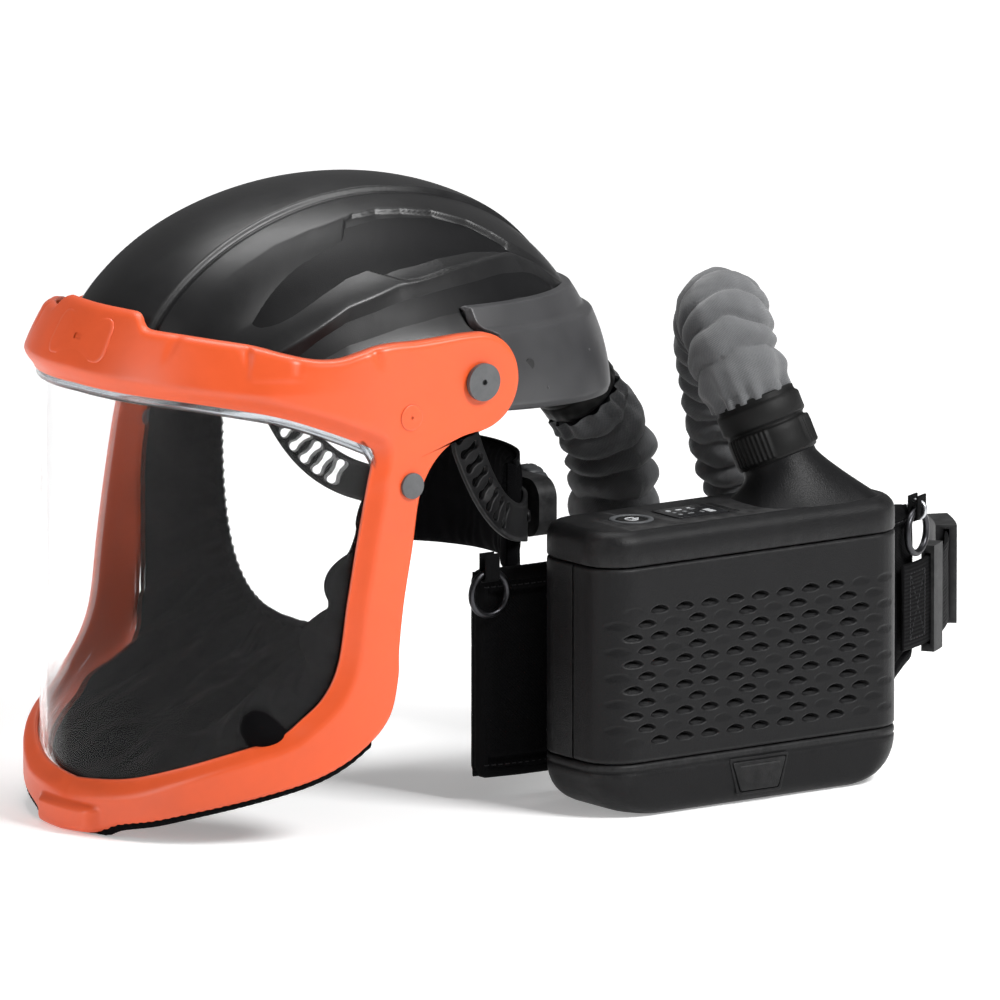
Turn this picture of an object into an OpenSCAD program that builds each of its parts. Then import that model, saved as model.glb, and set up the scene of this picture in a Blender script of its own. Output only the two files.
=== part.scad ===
// Powered air respirator: a headtop with a lifting visor, a sleeved breathing hose
// and a belt-worn blower. The wearer faces -Y, +Z is up, and the origin is the middle
// of the visor's hinge line, inside the head harness.

/* [Headtop shell] */
// Half of the shell's outside width, at its rim
shell_half_w = 104; // [102:1:105]
// Half of the shell's outside length, at its rim
shell_half_l = 148; // [144:1:150]
// Height of the crown above the hinge line
shell_top = 87; // [85:1:95]
// Wall of the outer shell
shell_wall = 3; // [2.5:0.5:4]

/* [Visor] */
// Outside radius of the visor frame seen from above
frame_r = 117; // [116:0.5:119]
// Wall of the visor frame
frame_wall = 8; // [7:0.5:8]
// Thickness of the clear lens
lens_wall = 1.6; // [1:0.1:2]
// Radius of the hinge pins
hinge_pin_r = 6; // [5:0.5:7]

/* [Harness] */
// Half of the headband's width
band_half_w = 78; // [74:1:79]
// Half of the headband's length
band_half_l = 96; // [92:1:98]
// Thickness of the bands and straps
band_t = 2.2; // [1.8:0.2:2.4]

/* [Hose] */
// Outside diameter of the hose in its sleeve
hose_d = 42; // [38:1:42]
// Radius of the air passage
air_r = 15; // [13:0.5:16]

/* [Blower] */
// Width of the blower
blower_w = 190; // [184:2:196]
// Depth of the blower, front to back
blower_d = 64; // [62:1:66]
// Height of the blower's body without its outlet
blower_h = 146; // [142:1:150]
// Height of the battery pack
battery_h = 28; // [26:1:30]
// Radius of the blower's upright corners
corner_r = 20; // [16:1:22]

/* [Belt] */
// Height of the padded belt
belt_h = 106; // [98:1:106]
// Thickness of the padded belt
belt_t = 13; // [10:1:14]
// Width of the webbing strap
strap_w = 45; // [40:1:50]

/* [Hidden] */
$fn = 48;

fit_gap = 0.3;        // between pieces that don't touch
running_gap = 0.05;   // round a turning pin

// Heights and places that several pieces share
floor_z = -226;
visor_centre_y = -55;
shell_centre_y = -10;
frame_in_r = frame_r - frame_wall;
lens_out_r = frame_in_r - fit_gap;
lens_in_r = lens_out_r - lens_wall;
blower_x = 118;
blower_y = 148;
body_top = blower_h - 18;
outlet_y = 45;
outlet_tilt = [12, -20, 0];
fan_y = 38;
fan_z = 78;
band_y = -8;
belt_x = blower_x - blower_d / 2 - 16.5;
belt_curve_r = 150;
belt_end = 30;        // how far round its right end the pad reaches
belt_z = floor_z + 12;
port_start = [0, 120, -8];
port_tilt = 40;

// The route of the hose: out of the headtop, down to the ground behind the blower,
// round a loose turn there, up again and over into the outlet
hose_route = [
    [0, 148, -42], [0, 158, -55], [0, 166, -74], [-2, 169, -100], [-8, 168, -130],
    [-22, 172, -162], [-45, 186, -190], [-70, 208, -203], [-84, 238, -204], [-76, 268, -204],
    [-48, 285, -200], [-16, 284, -184], [8, 272, -158], [20, 254, -128], [25, 236, -96],
    [25, 224, -64], [28, 216, -34], [38, 206, -9], [56, 193, 4], [76, 182, 3],
    [91, 176, -11], [99, 181, -32]
];

// ---- Shared functions and modules ----

// Where a smooth curve passes between b and c, u from 0 to 1, with neighbours a and d
function between(a, b, c, d, u) =
    0.5 * (2 * b + (c - a) * u + (2 * a - 5 * b + 4 * c - d) * u * u + (3 * b - 3 * c + d - a) * u * u * u);

function smooth(pts, steps) = [
    for (i = [0 : len(pts) - 2], k = [0 : steps - 1])
        between(pts[max(i - 1, 0)], pts[i], pts[i + 1], pts[min(i + 2, len(pts) - 1)], k / steps),
    pts[len(pts) - 1]
];

function unit(v) = v / norm(v);

// Directions along a path, from each point's neighbours
function path_dirs(p) = [for (i = [0 : len(p) - 1]) unit(p[min(i + 1, len(p) - 1)] - p[max(i - 1, 0)])];

// Side directions carried along the path without twisting
function carry(dirs, i, side) =
    i == len(dirs) ? [] :
    let (s = unit(side - (side * dirs[i]) * dirs[i])) concat([s], carry(dirs, i + 1, s));

// A round tube of radius r along path p
module tube(p, r, sides) {
    dirs = path_dirs(p);
    side = carry(dirs, 0, [1, 0, 0]);
    rings = len(p);
    pts = [for (i = [0 : rings - 1], k = [0 : sides - 1])
        p[i] + r * (cos(k * 360 / sides) * side[i] + sin(k * 360 / sides) * cross(dirs[i], side[i]))];
    walls = [for (i = [0 : rings - 2], k = [0 : sides - 1])
        let (a = i * sides + k, b = i * sides + (k + 1) % sides)
        each [[a, a + sides, b], [b, a + sides, b + sides]]];
    polyhedron(pts, concat(walls,
        [[for (k = [0 : sides - 1]) k]],
        [[for (k = [sides - 1 : -1 : 0]) (rings - 1) * sides + k]]), convexity = 10);
}

// A sheet with thickness: rows of points on its outer and inner sides. wrap joins its ends.
module slab(outer, inner, wrap = false) {
    rows = len(outer);
    cols = len(outer[0]);
    count = rows * cols;
    last = wrap ? cols - 1 : cols - 2;
    pts = concat([for (r = outer) each r], [for (r = inner) each r]);
    skin = [for (j = [0 : rows - 2], i = [0 : last])
        let (a = j * cols + i, b = j * cols + (i + 1) % cols)
        each [[a, a + cols, b], [b, a + cols, b + cols]]];
    back = [for (f = skin) [f[2] + count, f[1] + count, f[0] + count]];
    rims = [for (i = [0 : last])
        let (b = (i + 1) % cols, t = (rows - 1) * cols)
        each [[i, b, i + count], [b, b + count, i + count],
              [t + i, t + i + count, t + b], [t + b, t + i + count, t + b + count]]];
    ends = wrap ? [] : [for (j = [0 : rows - 2])
        let (a = j * cols, b = a + cols, c = a + cols - 1, d = c + cols)
        each [[a, a + count, b], [b, a + count, b + count],
              [c, d, c + count], [d, d + count, c + count]]];
    polyhedron(pts, concat(skin, back, rims, ends), convexity = 10);
}

// The rim of the shell is lower at the back than at the front
function rim_z(a) = -16 - 13 * sin(a);

// A point on the shell moved outward by off: a goes round from +X, t goes up from the rim
function shell_at(a, t, off) = [
    (shell_half_w + off) * cos(t) * cos(a),
    shell_centre_y + (shell_half_l + off) * cos(t) * sin(a),
    rim_z(a) + (shell_top + off - rim_z(a)) * sin(t)
];

// A dome between two offsets of the shell, from angle t0 up to its crown
module dome(off_out, off_in, t0, around, rows) {
    step = (90 - t0) / rows;
    pts = [for (off = [off_out, off_in]) each concat(
        [for (j = [0 : rows - 1], i = [0 : around - 1]) shell_at(i * 360 / around, t0 + j * step, off)],
        [shell_at(0, 90, off)])];
    count = rows * around + 1;
    top = count - 1;
    skin = concat(
        [for (j = [0 : rows - 2], i = [0 : around - 1])
            let (a = j * around + i, b = j * around + (i + 1) % around)
            each [[a, a + around, b], [b, a + around, b + around]]],
        [for (i = [0 : around - 1]) [(rows - 1) * around + i, top, (rows - 1) * around + (i + 1) % around]]);
    back = [for (f = skin) [f[2] + count, f[1] + count, f[0] + count]];
    rim = [for (i = [0 : around - 1])
        let (b = (i + 1) % around)
        each [[i, b, i + count], [b, b + count, i + count]]];
    polyhedron(pts, concat(skin, back, rim), convexity = 10);
}

// A block with round upright corners, centred on its plan
module rounded_block(w, d, h, r) {
    translate([-w / 2 + r, -d / 2, 0]) cube([w - 2 * r, d, h]);
    translate([-w / 2, -d / 2 + r, 0]) cube([w, d - 2 * r, h]);
    for (x = [-1, 1], y = [-1, 1])
        translate([x * (w / 2 - r), y * (d / 2 - r), 0]) cylinder(h = h, r = r);
}

// An outline of (y, z) points made solid from x0 to x1
module across(pts, x0, x1) {
    translate([x0, 0, 0]) rotate([90, 0, 90]) linear_extrude(x1 - x0) polygon(pts);
}

module along_x(x0, x1, r) {
    translate([x0, 0, 0]) rotate([0, 90, 0]) cylinder(h = x1 - x0, r = r);
}

module both_sides() {
    children();
    mirror([1, 0, 0]) children();
}

module at_blower() {
    translate([blower_x, blower_y, floor_z]) children();
}

module at_outlet() {
    at_blower() translate([0, outlet_y, blower_h]) rotate(outlet_tilt) children();
}

module at_port() {
    translate(port_start) rotate([180 + port_tilt, 0, 0]) children();
}

// ---- Headtop ----

module pivot_holes(r) {
    along_x(-frame_r, frame_r, r);
}

module outer_shell() {
    color("#2c2d30")
    difference() {
        dome(0, -shell_wall, 0, 56, 12);
        pivot_holes(hinge_pin_r);
        at_port() cylinder(h = 60, r = port_hole_r);
        shell_screw_holes(screw_r + running_gap);
    }
}

// The raised band over the middle of the shell, from brow to crown
function ridge_row(t, off) = [for (i = [-4 : 4]) shell_at(270 + i * (6 + t * t * 0.0012), t, off)];

module crown_ridge() {
    color("#36373a")
    slab([for (t = [18 : 7 : 88]) ridge_row(t, 2.4)], [for (t = [18 : 7 : 88]) ridge_row(t, fit_gap)]);
}

// The cover round the back, with the hollow that each visor arm turns in
module rear_cover() {
    color("#3a3b3e")
    difference() {
        slab([for (t = [0 : 5 : 30]) [for (a = [8 : 4 : 172]) shell_at(a, t, 8 - t * 0.12)]],
             [for (t = [0 : 5 : 30]) [for (a = [8 : 4 : 172]) shell_at(a, t, 0.6)]]);
        pivot_holes(arm_end_r + 5);
        at_port() cylinder(h = 70, r = port_hole_r);
        shell_screw_holes(screw_r + running_gap);
        both_sides() translate([0, screw_y, screw_z]) along_x(screw_head_x, screw_head_x + 9, 3.1);
    }
}

// The inner skin that leads air forward over the head
module air_duct() {
    color("#1f2022")
    difference() {
        dome(-9, -10.8, 22, 40, 7);
        at_port() cylinder(h = 60, r = 20);
    }
}

module brow_trim() {
    color("#1b1c1e")
    slab([for (k = [0, 1]) [for (a = [205 : 5 : 335]) shell_at(a, 3 + 9 * k, -shell_wall - fit_gap)]],
         [for (k = [0, 1]) [for (a = [205 : 5 : 335]) shell_at(a, 3 + 9 * k, -shell_wall - 4)]]);
}

// Screws that hold the rear cover to the shell, one on each side
screw_y = 40;
screw_z = 2;
screw_r = 1.5;
screw_head_x = 101;

module shell_screw_holes(r) {
    translate([0, screw_y, screw_z]) along_x(-shell_half_w - 10, shell_half_w + 10, r);
}

module shell_screws() {
    color("silver")
    both_sides() translate([0, screw_y, screw_z]) {
        along_x(screw_head_x - 10, screw_head_x, screw_r);
        along_x(screw_head_x, screw_head_x + 1.8, 3);
    }
}

// ---- Visor ----

// A wall bent round the face, seen from above, then straight back to y_end
module face_wall(r_out, r_in, z0, z1, y_end) {
    difference() {
        translate([0, visor_centre_y, z0]) {
            cylinder(h = z1 - z0, r = r_out, $fn = 96);
            translate([-r_out, 0, 0]) cube([2 * r_out, y_end - visor_centre_y, z1 - z0]);
        }
        translate([0, visor_centre_y, z0 - 1]) {
            cylinder(h = z1 - z0 + 2, r = r_in, $fn = 96);
            translate([-r_in, 0, 0]) cube([2 * r_in, y_end - visor_centre_y + 1, z1 - z0 + 2]);
        }
    }
}

frame_outline = [
    [-180, 40], [-150, 34], [-112, 20], [-60, 19], [0, 22], [0, -22], [-24, -33], [-37, -56], [-46, -106],
    [-50, -150], [-60, -178], [-84, -203], [-120, -220], [-180, floor_z]
];
window_outline = [
    [-181, 1], [-150, -2], [-110, -10], [-62, -28], [-66, -80],
    [-74, -126], [-90, -166], [-130, -194], [-181, -201]
];
lens_outline = [
    [-180, 7], [-150, 4], [-108, -4], [-56, -22], [-59, -82],
    [-67, -130], [-84, -172], [-128, -201], [-180, -208]
];
seal_outline = [
    [-180, 15], [-150, 12], [-106, 4], [-56, -14], [-56, -21], [-108, -3], [-150, 5], [-180, 8]
];
arm_end_r = 22;
port_hole_r = 22;
stud_y = -43;
stud_z = -48;
stud_r = 6.5;

module visor_frame() {
    color("#f2622b")
    difference() {
        union() {
            intersection() {
                face_wall(frame_r, frame_in_r, floor_z, 40, 0);
                across(frame_outline, -frame_r - 1, frame_r + 1);
            }
            both_sides() along_x(frame_in_r, frame_r, arm_end_r);
            translate([-24, visor_centre_y - frame_r - 5, floor_z]) cube([48, 8, 12]);
        }
        across(window_outline, -frame_r - 2, frame_r + 2);
        pivot_holes(hinge_pin_r + running_gap);
        translate([0, stud_y, stud_z]) along_x(-frame_r - 2, frame_r + 2, stud_r - 2);
    }
}

module lens() {
    color([0.9, 0.95, 1, 0.3])
    intersection() {
        face_wall(lens_out_r, lens_in_r, floor_z, 30, -50);
        across(lens_outline, -frame_r, frame_r);
    }
}

module lens_seal() {
    color("#141414")
    intersection() {
        face_wall(lens_in_r - 0.1, lens_in_r - 2.2, floor_z, 30, -50);
        across(seal_outline, -frame_r, frame_r);
    }
}

module lens_studs() {
    color("#4a4b4e")
    both_sides() translate([0, stud_y, stud_z]) {
        along_x(frame_r, frame_r + 1.6, stud_r);
        along_x(frame_in_r - 1.5, frame_r, stud_r - 2);
    }
}

module hinge_pin() {
    pin_in = shell_half_w - 7;
    difference() {
        union() {
            along_x(pin_in, frame_r + 0.6, hinge_pin_r);
            along_x(frame_r + 0.6, frame_r + 3, 9.5);
        }
        along_x(frame_r + 1, frame_r + 4, 1.5);
    }
}

module hinge_pin_left() {
    color("#4a4b4e") hinge_pin();
}

module hinge_pin_right() {
    color("#4a4b4e") mirror([1, 0, 0]) hinge_pin();
}

// Spring washers between the shell and each visor arm
module hinge_washers() {
    color("silver")
    both_sides() difference() {
        along_x(shell_half_w + 0.4, frame_in_r - 0.4, 15);
        along_x(shell_half_w, frame_in_r, hinge_pin_r + 0.2);
    }
}

// The cloth between the lens and the wearer's face, open in the middle
function seal_outer(s, off) =
    let (side = sign(s), p = abs(s), r = lens_in_r - 3 - off)
    p > 0.55
        ? [side * r, visor_centre_y - 8 + 10 * (p - 0.55), -160 + (p - 0.55) / 0.45 * 130]
        : let (a = 90 * p / 0.55) [side * r * sin(a), visor_centre_y - 8 * pow(sin(a), 6) - r * cos(a),
                                   -200 + 40 * pow(p / 0.55, 2) + off];
function seal_inner(s, off) =
    let (a = 90 * s, r = 72 + off)
    [r * sin(a), -28 + 10 * sin(abs(a)), -38 - (102 + off) * cos(a)];

module face_seal() {
    color("#18181a")
    slab([for (k = [0 : 4]) [for (i = [-12 : 12])
            let (s = i / 12, u = k / 4, a = seal_outer(s, 0), b = seal_inner(s, 0))
            a * (1 - u) + b * u + [0, 0, -16 * u * (1 - u)]]],
         [for (k = [0 : 4]) [for (i = [-12 : 12])
            let (s = i / 12, u = k / 4, a = seal_outer(s, 3), b = seal_inner(s, -3))
            a * (1 - u) + b * u + [0, 0, -16 * u * (1 - u) + 3 * (1 - abs(s))]]]);
}

// ---- Head harness ----

band_top = 20;
function band_at(a, off, z) = [(band_half_w + off) * cos(a), band_y + (band_half_l + off) * sin(a), z];

module headband() {
    color("#3a3b3d")
    slab([for (z = [-4, band_top]) [for (a = [0 : 7.5 : 352.5]) band_at(a, band_t / 2, z)]],
         [for (z = [-4, band_top]) [for (a = [0 : 7.5 : 352.5]) band_at(a, -band_t / 2, z)]], wrap = true);
}

module sweatband() {
    color("#222326")
    slab([for (z = [-2, 22]) [for (a = [215 : 6 : 325]) band_at(a, -band_t / 2 - fit_gap, z)]],
         [for (z = [-2, 22]) [for (a = [215 : 6 : 325]) band_at(a, -band_t / 2 - 5, z)]]);
}

strap_rise = 45;      // of the strap across the head, over the headband
strap_half_w = 11;

// A strap arched over the head, from one side of the headband's top edge to the other
module arch(half_span, rise, half_width) {
    slab([for (y = [-half_width, half_width]) [for (a = [0 : 12 : 180])
            [half_span * cos(a), y, band_top + rise * sin(a)]]],
         [for (y = [-half_width, half_width]) [for (a = [0 : 12 : 180])
            [(half_span - band_t) * cos(a), y, band_top + (rise - band_t) * sin(a)]]]);
}

module crown_strap() {
    color("#3a3b3d")
    translate([0, band_y, 0]) arch(band_half_w + band_t / 2, strap_rise, strap_half_w);
}

module cross_strap() {
    color("#3a3b3d")
    translate([0, band_y, 0]) rotate([0, 0, 90])
        arch(band_half_l + band_t / 2, strap_rise - band_t - 1, strap_half_w);
}

// Thin round guides at the temples that the bands hang from
ring_y = 14;
ring_z = -8;
module band_rings() {
    color("#55565a")
    both_sides() translate([88, ring_y, ring_z]) rotate([0, 90, 0])
        rotate_extrude() translate([21, 0]) circle(r = 2.2, $fn = 16);
}

// The band that drops steeply behind the temples and then runs level round the nape
nape_off = 7;
ratchet_z = -90;
function nape_bend(a) = pow(abs(a - 90) / 82, 6);
function nape_z(a) = ratchet_z + 76 * nape_bend(a);
function nape_row(off, side) = [
    for (a = [8 : 4 : 172]) band_at(a, nape_off + off, nape_z(a) + side * (12 + 14 * nape_bend(a)))
];

module nape_band() {
    color("#3a3b3d")
    slab([for (side = [-1, 1]) nape_row(band_t / 2, side)],
         [for (side = [-1, 1]) nape_row(-band_t / 2, side)]);
}

nape_pad_z = -104;
module nape_pad() {
    out = nape_off - band_t / 2 - fit_gap;
    color("#141416")
    slab([for (z = [0, 56]) [for (a = [6 : 6 : 174]) band_at(a, out, nape_pad_z + z)]],
         [for (z = [0, 56]) [for (a = [6 : 6 : 174]) band_at(a, -5, nape_pad_z + z)]]);
}

ratchet_y = band_y + band_half_l + nape_off + band_t / 2 + 1.5;
module at_ratchet() {
    translate([0, ratchet_y, ratchet_z]) rotate([-90, 0, 0]) children();
}

module ratchet_housing() {
    color("#2a2b2d")
    at_ratchet() difference() {
        rounded_block(64, 30, 11, 10);
        translate([0, 0, 3]) cylinder(h = 20, r = 13.3);
        translate([0, 0, -1]) cylinder(h = 6, r = 4.05);
    }
}

module ratchet_pinion() {
    color("silver")
    at_ratchet() {
        translate([0, 0, 0.5]) cylinder(h = 3, r = 4);
        translate([0, 0, 3.5]) difference() {
            cylinder(h = 6, r = 11);
            for (k = [0 : 11]) rotate(k * 30) translate([11, 0, -1]) cylinder(h = 8, r = 1.4);
        }
    }
}

module ratchet_knob() {
    color("#46474a")
    at_ratchet() translate([0, 0, 11.3]) difference() {
        cylinder(h = 10, r = 17);
        for (k = [0 : 17]) rotate(k * 20) translate([17.6, 0, -1]) cylinder(h = 12, r = 1.6);
        translate([0, 0, 6]) cylinder(h = 5, r = 11);
    }
}

// ---- Breathing hose ----

module hose_port() {
    color("#232426")
    at_port() difference() {
        union() {
            cylinder(h = 38, r = air_r + 3);
            translate([0, 0, 2]) cylinder(h = 3, r = air_r + 4.5);
        }
        translate([0, 0, -1]) cylinder(h = 50, r = air_r);
    }
}

cuff_start = 29;
cuff_h = 14;
module hose_cuff() {
    color("#1d1d1f")
    at_port() translate([0, 0, cuff_start]) difference() {
        cylinder(h = cuff_h, r = 21);
        translate([0, 0, -1]) cylinder(h = cuff_h + 2, r = air_r + 3.05);
    }
}

module breathing_hose() {
    color("#77797c")
    difference() {
        tube(smooth(hose_route, 3), hose_d / 2, 12);
        at_port() cylinder(h = cuff_start + cuff_h + running_gap, r = 30);
        at_outlet() translate([0, 0, -10]) cylinder(h = 10 + collar_z + collar_h + running_gap, r = 34);
    }
}

// ---- Blower ----

module body_block(h, shrink) {
    rounded_block(blower_d - 2 * shrink, blower_w - 2 * shrink, h, corner_r - shrink);
}

split_x = 4;          // where the housing ends and the filter cover starts
wall = 2.5;

module blower_housing() {
    color("#2b2c2e")
    at_blower() translate([0, 0, battery_h + fit_gap]) difference() {
        intersection() {
            body_block(body_top - battery_h - fit_gap, 0);
            translate([-blower_d / 2, -blower_w / 2, 0]) cube([blower_d / 2 + split_x, blower_w, blower_h]);
        }
        translate([0, 0, wall]) body_block(body_top - battery_h - 2 * wall - fit_gap, wall);
    }
}

// One opening of the cover: a pointed slot, wide in y
module slot_cut() {
    rotate([90, 0, 90]) linear_extrude(10)
        polygon([[-3.6, 0], [-1.8, 1.7], [1.8, 1.7], [3.6, 0], [1.8, -1.7], [-1.8, -1.7]]);
}

module filter_cover() {
    cover_h = body_top - battery_h - 2 * fit_gap;
    color("#2f3032")
    at_blower() translate([0, 0, battery_h + fit_gap]) difference() {
        intersection() {
            body_block(cover_h, 0);
            translate([split_x + fit_gap, -blower_w / 2, 0]) cube([blower_d / 2, blower_w, blower_h]);
        }
        translate([0, 0, wall]) body_block(cover_h - 2 * wall, wall);
        for (row = [0 : 9], k = [0 : 8 - row % 2])
            if (row % 2 == 0 || k % 3 != 2)
                translate([blower_d / 2 - 5, (k - 4 + (row % 2) / 2) * 14, 12 + row * 7]) slot_cut();
    }
}

// The plate between the filter and the fan, with the fan's inlet in it
plate_t = 2.5;
module inlet_plate() {
    color("#26272a")
    difference() {
        at_blower() translate([split_x - plate_t, 1 - blower_w / 2 + wall, battery_h + wall + 1])
            cube([plate_t, blower_w - 2 * wall - 2, body_top - battery_h - 2 * wall - 2]);
        at_fan() translate([0, 0, -20]) cylinder(h = 60, r = 24);
    }
}

filter_x = split_x + 3.1;
filter_z = battery_h + 6;
filter_h = body_top - battery_h - 13;
module at_filter() {
    at_blower() translate([filter_x, 0, filter_z]) children();
}

module filter_cartridge() {
    color("#e6e4dc")
    at_filter() difference() {
        translate([0, -72, 0]) cube([15, 144, filter_h]);
        for (k = [0 : 16]) translate([-1, -67 + k * 8, 5]) cube([11, 4, filter_h - 10]);
    }
}

module filter_gasket() {
    color("#101011")
    at_filter() translate([-3, 0, 0]) difference() {
        translate([0, -72, 0]) cube([2.8, 144, filter_h]);
        translate([-1, -66, 6]) cube([5, 132, filter_h - 12]);
    }
}

module prefilter() {
    color("#f0f0ee")
    at_filter() translate([15.3, -72, 0]) cube([4, 144, filter_h]);
}

button_y = -56;
panel_y = -24;
module top_cap() {
    cap_h = blower_h - body_top;
    color("#303134")
    difference() {
        at_blower() translate([0, 0, body_top + fit_gap]) difference() {
            union() {
                body_block(cap_h - 6 - fit_gap, 0);
                body_block(cap_h - 3 - fit_gap, 1.5);
                body_block(cap_h - fit_gap, 5);
            }
            translate([0, 0, -1]) body_block(cap_h - 2, 7);
            translate([0, button_y, -1]) cylinder(h = 30, r = 11.3);
            translate([-11, panel_y - 12.3, cap_h - 1.6]) cube([24, 32.6, 5]);
            translate([-8, panel_y - 9, -1]) cube([18, 26, 30]);
            translate([0, outlet_y, -1]) cylinder(h = 30, r = 24.3);
        }
        at_outlet() translate([0, 0, -8]) cylinder(h = 30, r = 27);
    }
}

module power_button() {
    color("#3c3d40")
    at_blower() translate([0, button_y, blower_h - 6]) difference() {
        cylinder(h = 6.6, r = 8);
        translate([0, 0, 6]) cylinder(h = 2, r = 6);
    }
}

module button_ring() {
    color("#8d9094")
    at_blower() translate([0, button_y, blower_h - 8]) difference() {
        cylinder(h = 8.4, r = 11);
        translate([0, 0, 1]) cylinder(h = 10, r = 8.3);
        translate([0, 0, -1]) cylinder(h = 10, r = 6);
    }
}

module indicator_panel() {
    color("#101012")
    at_blower() translate([-10.7, panel_y - 12, blower_h - 1.2]) cube([23.4, 32, 1.5]);
}

neck_h = 32;
collar_z = 20;
collar_h = 34;
module outlet_neck() {
    color("#34363a")
    difference() {
        at_outlet() union() {
            translate([0, 0, 9]) cylinder(h = neck_h, r = air_r + 3.5);
            translate([0, 0, -7]) cylinder(h = 16, r = 26);
            translate([0, 0, 9]) cylinder(h = 10, r1 = 26, r2 = 19);
        }
        at_outlet() translate([0, 0, -30]) cylinder(h = 90, r = air_r);
        at_blower() translate([-50, -blower_w, -10]) cube([100, 2 * blower_w, body_top + fit_gap + 10]);
    }
}

module outlet_collar() {
    color("#1e1f21")
    at_outlet() translate([0, 0, collar_z]) difference() {
        union() {
            cylinder(h = collar_h - 4, r = 22);
            cylinder(h = collar_h, r = 20.5);
            for (k = [0 : 17]) rotate(k * 20) translate([21.4, 0, 2]) cylinder(h = 14, r = 1.4);
        }
        translate([0, 0, -1]) cylinder(h = 22.5, r = air_r + 3.6);
        translate([0, 0, 20]) cylinder(h = 40, r = air_r);
    }
}

module at_fan() {
    at_blower() translate([0, fan_y, fan_z]) rotate([0, 90, 0]) children();
}

fan_back = -blower_d / 2 + wall + 1;
module fan_scroll() {
    color("#1f2022")
    at_fan() difference() {
        translate([0, 0, fan_back]) cylinder(h = 28, r = 42);
        translate([0, 0, fan_back + 2]) cylinder(h = 24, r = 39.5);
        translate([0, 0, fan_back + 10]) cylinder(h = 40, r = 24);
        translate([0, 0, fan_back - 1]) cylinder(h = 5, r = 12.3);
        translate([-60, -10, fan_back + 6]) cube([40, 20, 18]);
    }
}

module impeller() {
    color("#2e4d6e")
    at_fan() translate([0, 0, fan_back + 15.6]) {
        cylinder(h = 1.6, r = 36);
        cylinder(h = 9, r = 7);
        for (k = [0 : 15]) rotate(k * 22.5) translate([22, -0.7, 1]) rotate(30) cube([13, 1.4, 8]);
    }
}

module fan_motor() {
    color("silver")
    at_fan() {
        translate([0, 0, fan_back + 1]) cylinder(h = 13, r = 12);
        translate([0, 0, fan_back + 14]) cylinder(h = 1.4, r = 3);
    }
}

module circuit_board() {
    color("#1f5c3a")
    at_blower() {
        translate([-blower_d / 2 + 8, -80, 40]) cube([1.6, 62, 76]);
        translate([-blower_d / 2 + 9.6, -70, 60]) cube([4, 14, 14]);
        translate([-blower_d / 2 + 9.6, -48, 84]) cube([3, 20, 12]);
    }
}

// The battery pack hooks under the housing, and its lower corners are round
module pack_shape(shrink) {
    intersection() {
        body_block(battery_h, shrink);
        across([
            [-blower_w / 2, battery_h], [blower_w / 2, battery_h],
            for (a = [0 : -15 : -90]) [blower_w / 2 - 24 + 24 * cos(a), 24 + 24 * sin(a)],
            for (a = [-90 : -15 : -180]) [-blower_w / 2 + 24 + 24 * cos(a), 24 + 24 * sin(a)]
        ], -50, 50);
    }
}

latch_w = 34;
module latch_outline(grow, x0, x1) {
    across([[-latch_w / 2 - grow, 22 + grow], [latch_w / 2 + grow, 22 + grow],
            [latch_w / 2 - 5 + grow, 6 - grow], [-latch_w / 2 + 5 - grow, 6 - grow]],
           blower_d / 2 + x0, blower_d / 2 + x1);
}

module battery_case() {
    color("#2b2c2e")
    at_blower() difference() {
        pack_shape(0);
        translate([-25, -68, 4]) cube([50, 136, battery_h - 6]);
        latch_outline(fit_gap, -6, 4);
        for (y = contact_places) translate([-10, y - 2.3, battery_h - 3]) cube([20, 4.6, 5]);
    }
}

contact_places = [-20, -10, 0, 10, 20];
module battery_contacts() {
    color("gold")
    at_blower() for (y = contact_places)
        translate([-9, y - 2, battery_h - 1.8]) cube([18, 4, 1.8]);
}

module battery_cells() {
    color("#3d78b5")
    at_blower() for (x = [-1, 0, 1], y = [-1, 1])
        translate([x * 16.4, y * 33.5, 12.6]) rotate([90, 0, 0]) cylinder(h = 65, r = 8.1, center = true);
}

module battery_latch() {
    color("#35363a")
    at_blower() latch_outline(0, -3.5, 1);
}

module blower_screws() {
    color("silver")
    at_blower() for (y = [-70, 70], z = [44, 112])
        translate([-blower_d / 2 - 1.2, y, z]) along_x(0, 1.2, 3.4);
}

// ---- Belt ----

bracket_gap = 1.5;
module belt_bracket() {
    color("#232426")
    at_blower() translate([-blower_d / 2 - bracket_gap, 0, 0]) {
        translate([-7, -50, 40]) cube([7, 100, 70]);
        translate([-3, -30, 30]) cube([3, 60, 92]);
    }
}

// The belt is straight behind the blower and bends round the waist at both ends
belt_mid_x = belt_x - belt_curve_r;
belt_from_y = 70;
belt_to_y = 240;
function belt_at(a, mid_y, r, z) = [belt_mid_x + r * cos(a), mid_y + r * sin(a), z];
function belt_line(off, z) = [
    for (a = [-15 : 5 : 0]) belt_at(a, belt_from_y, belt_curve_r + off, z),
    for (a = [0 : 5 : belt_end]) belt_at(a, belt_to_y, belt_curve_r + off, z)
];

module belt_pad() {
    color("#19191b")
    slab([for (z = [belt_z, belt_z + belt_h]) belt_line(belt_t / 2, z)],
         [for (z = [belt_z, belt_z + belt_h]) belt_line(-belt_t / 2, z)]);
}

strap_z = belt_z + 33;
strap_r = belt_curve_r + belt_t / 2 + 2.6;
module strap_arc(from, to, t, z, h, r) {
    translate([belt_mid_x, belt_to_y, z]) rotate([0, 0, from])
        rotate_extrude(angle = to - from, $fn = 96) translate([r - t / 2, 0]) square([t, h]);
}

module belt_strap() {
    color("#0f0f10")
    strap_arc(22, 58, 2, strap_z, strap_w, strap_r);
}

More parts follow.
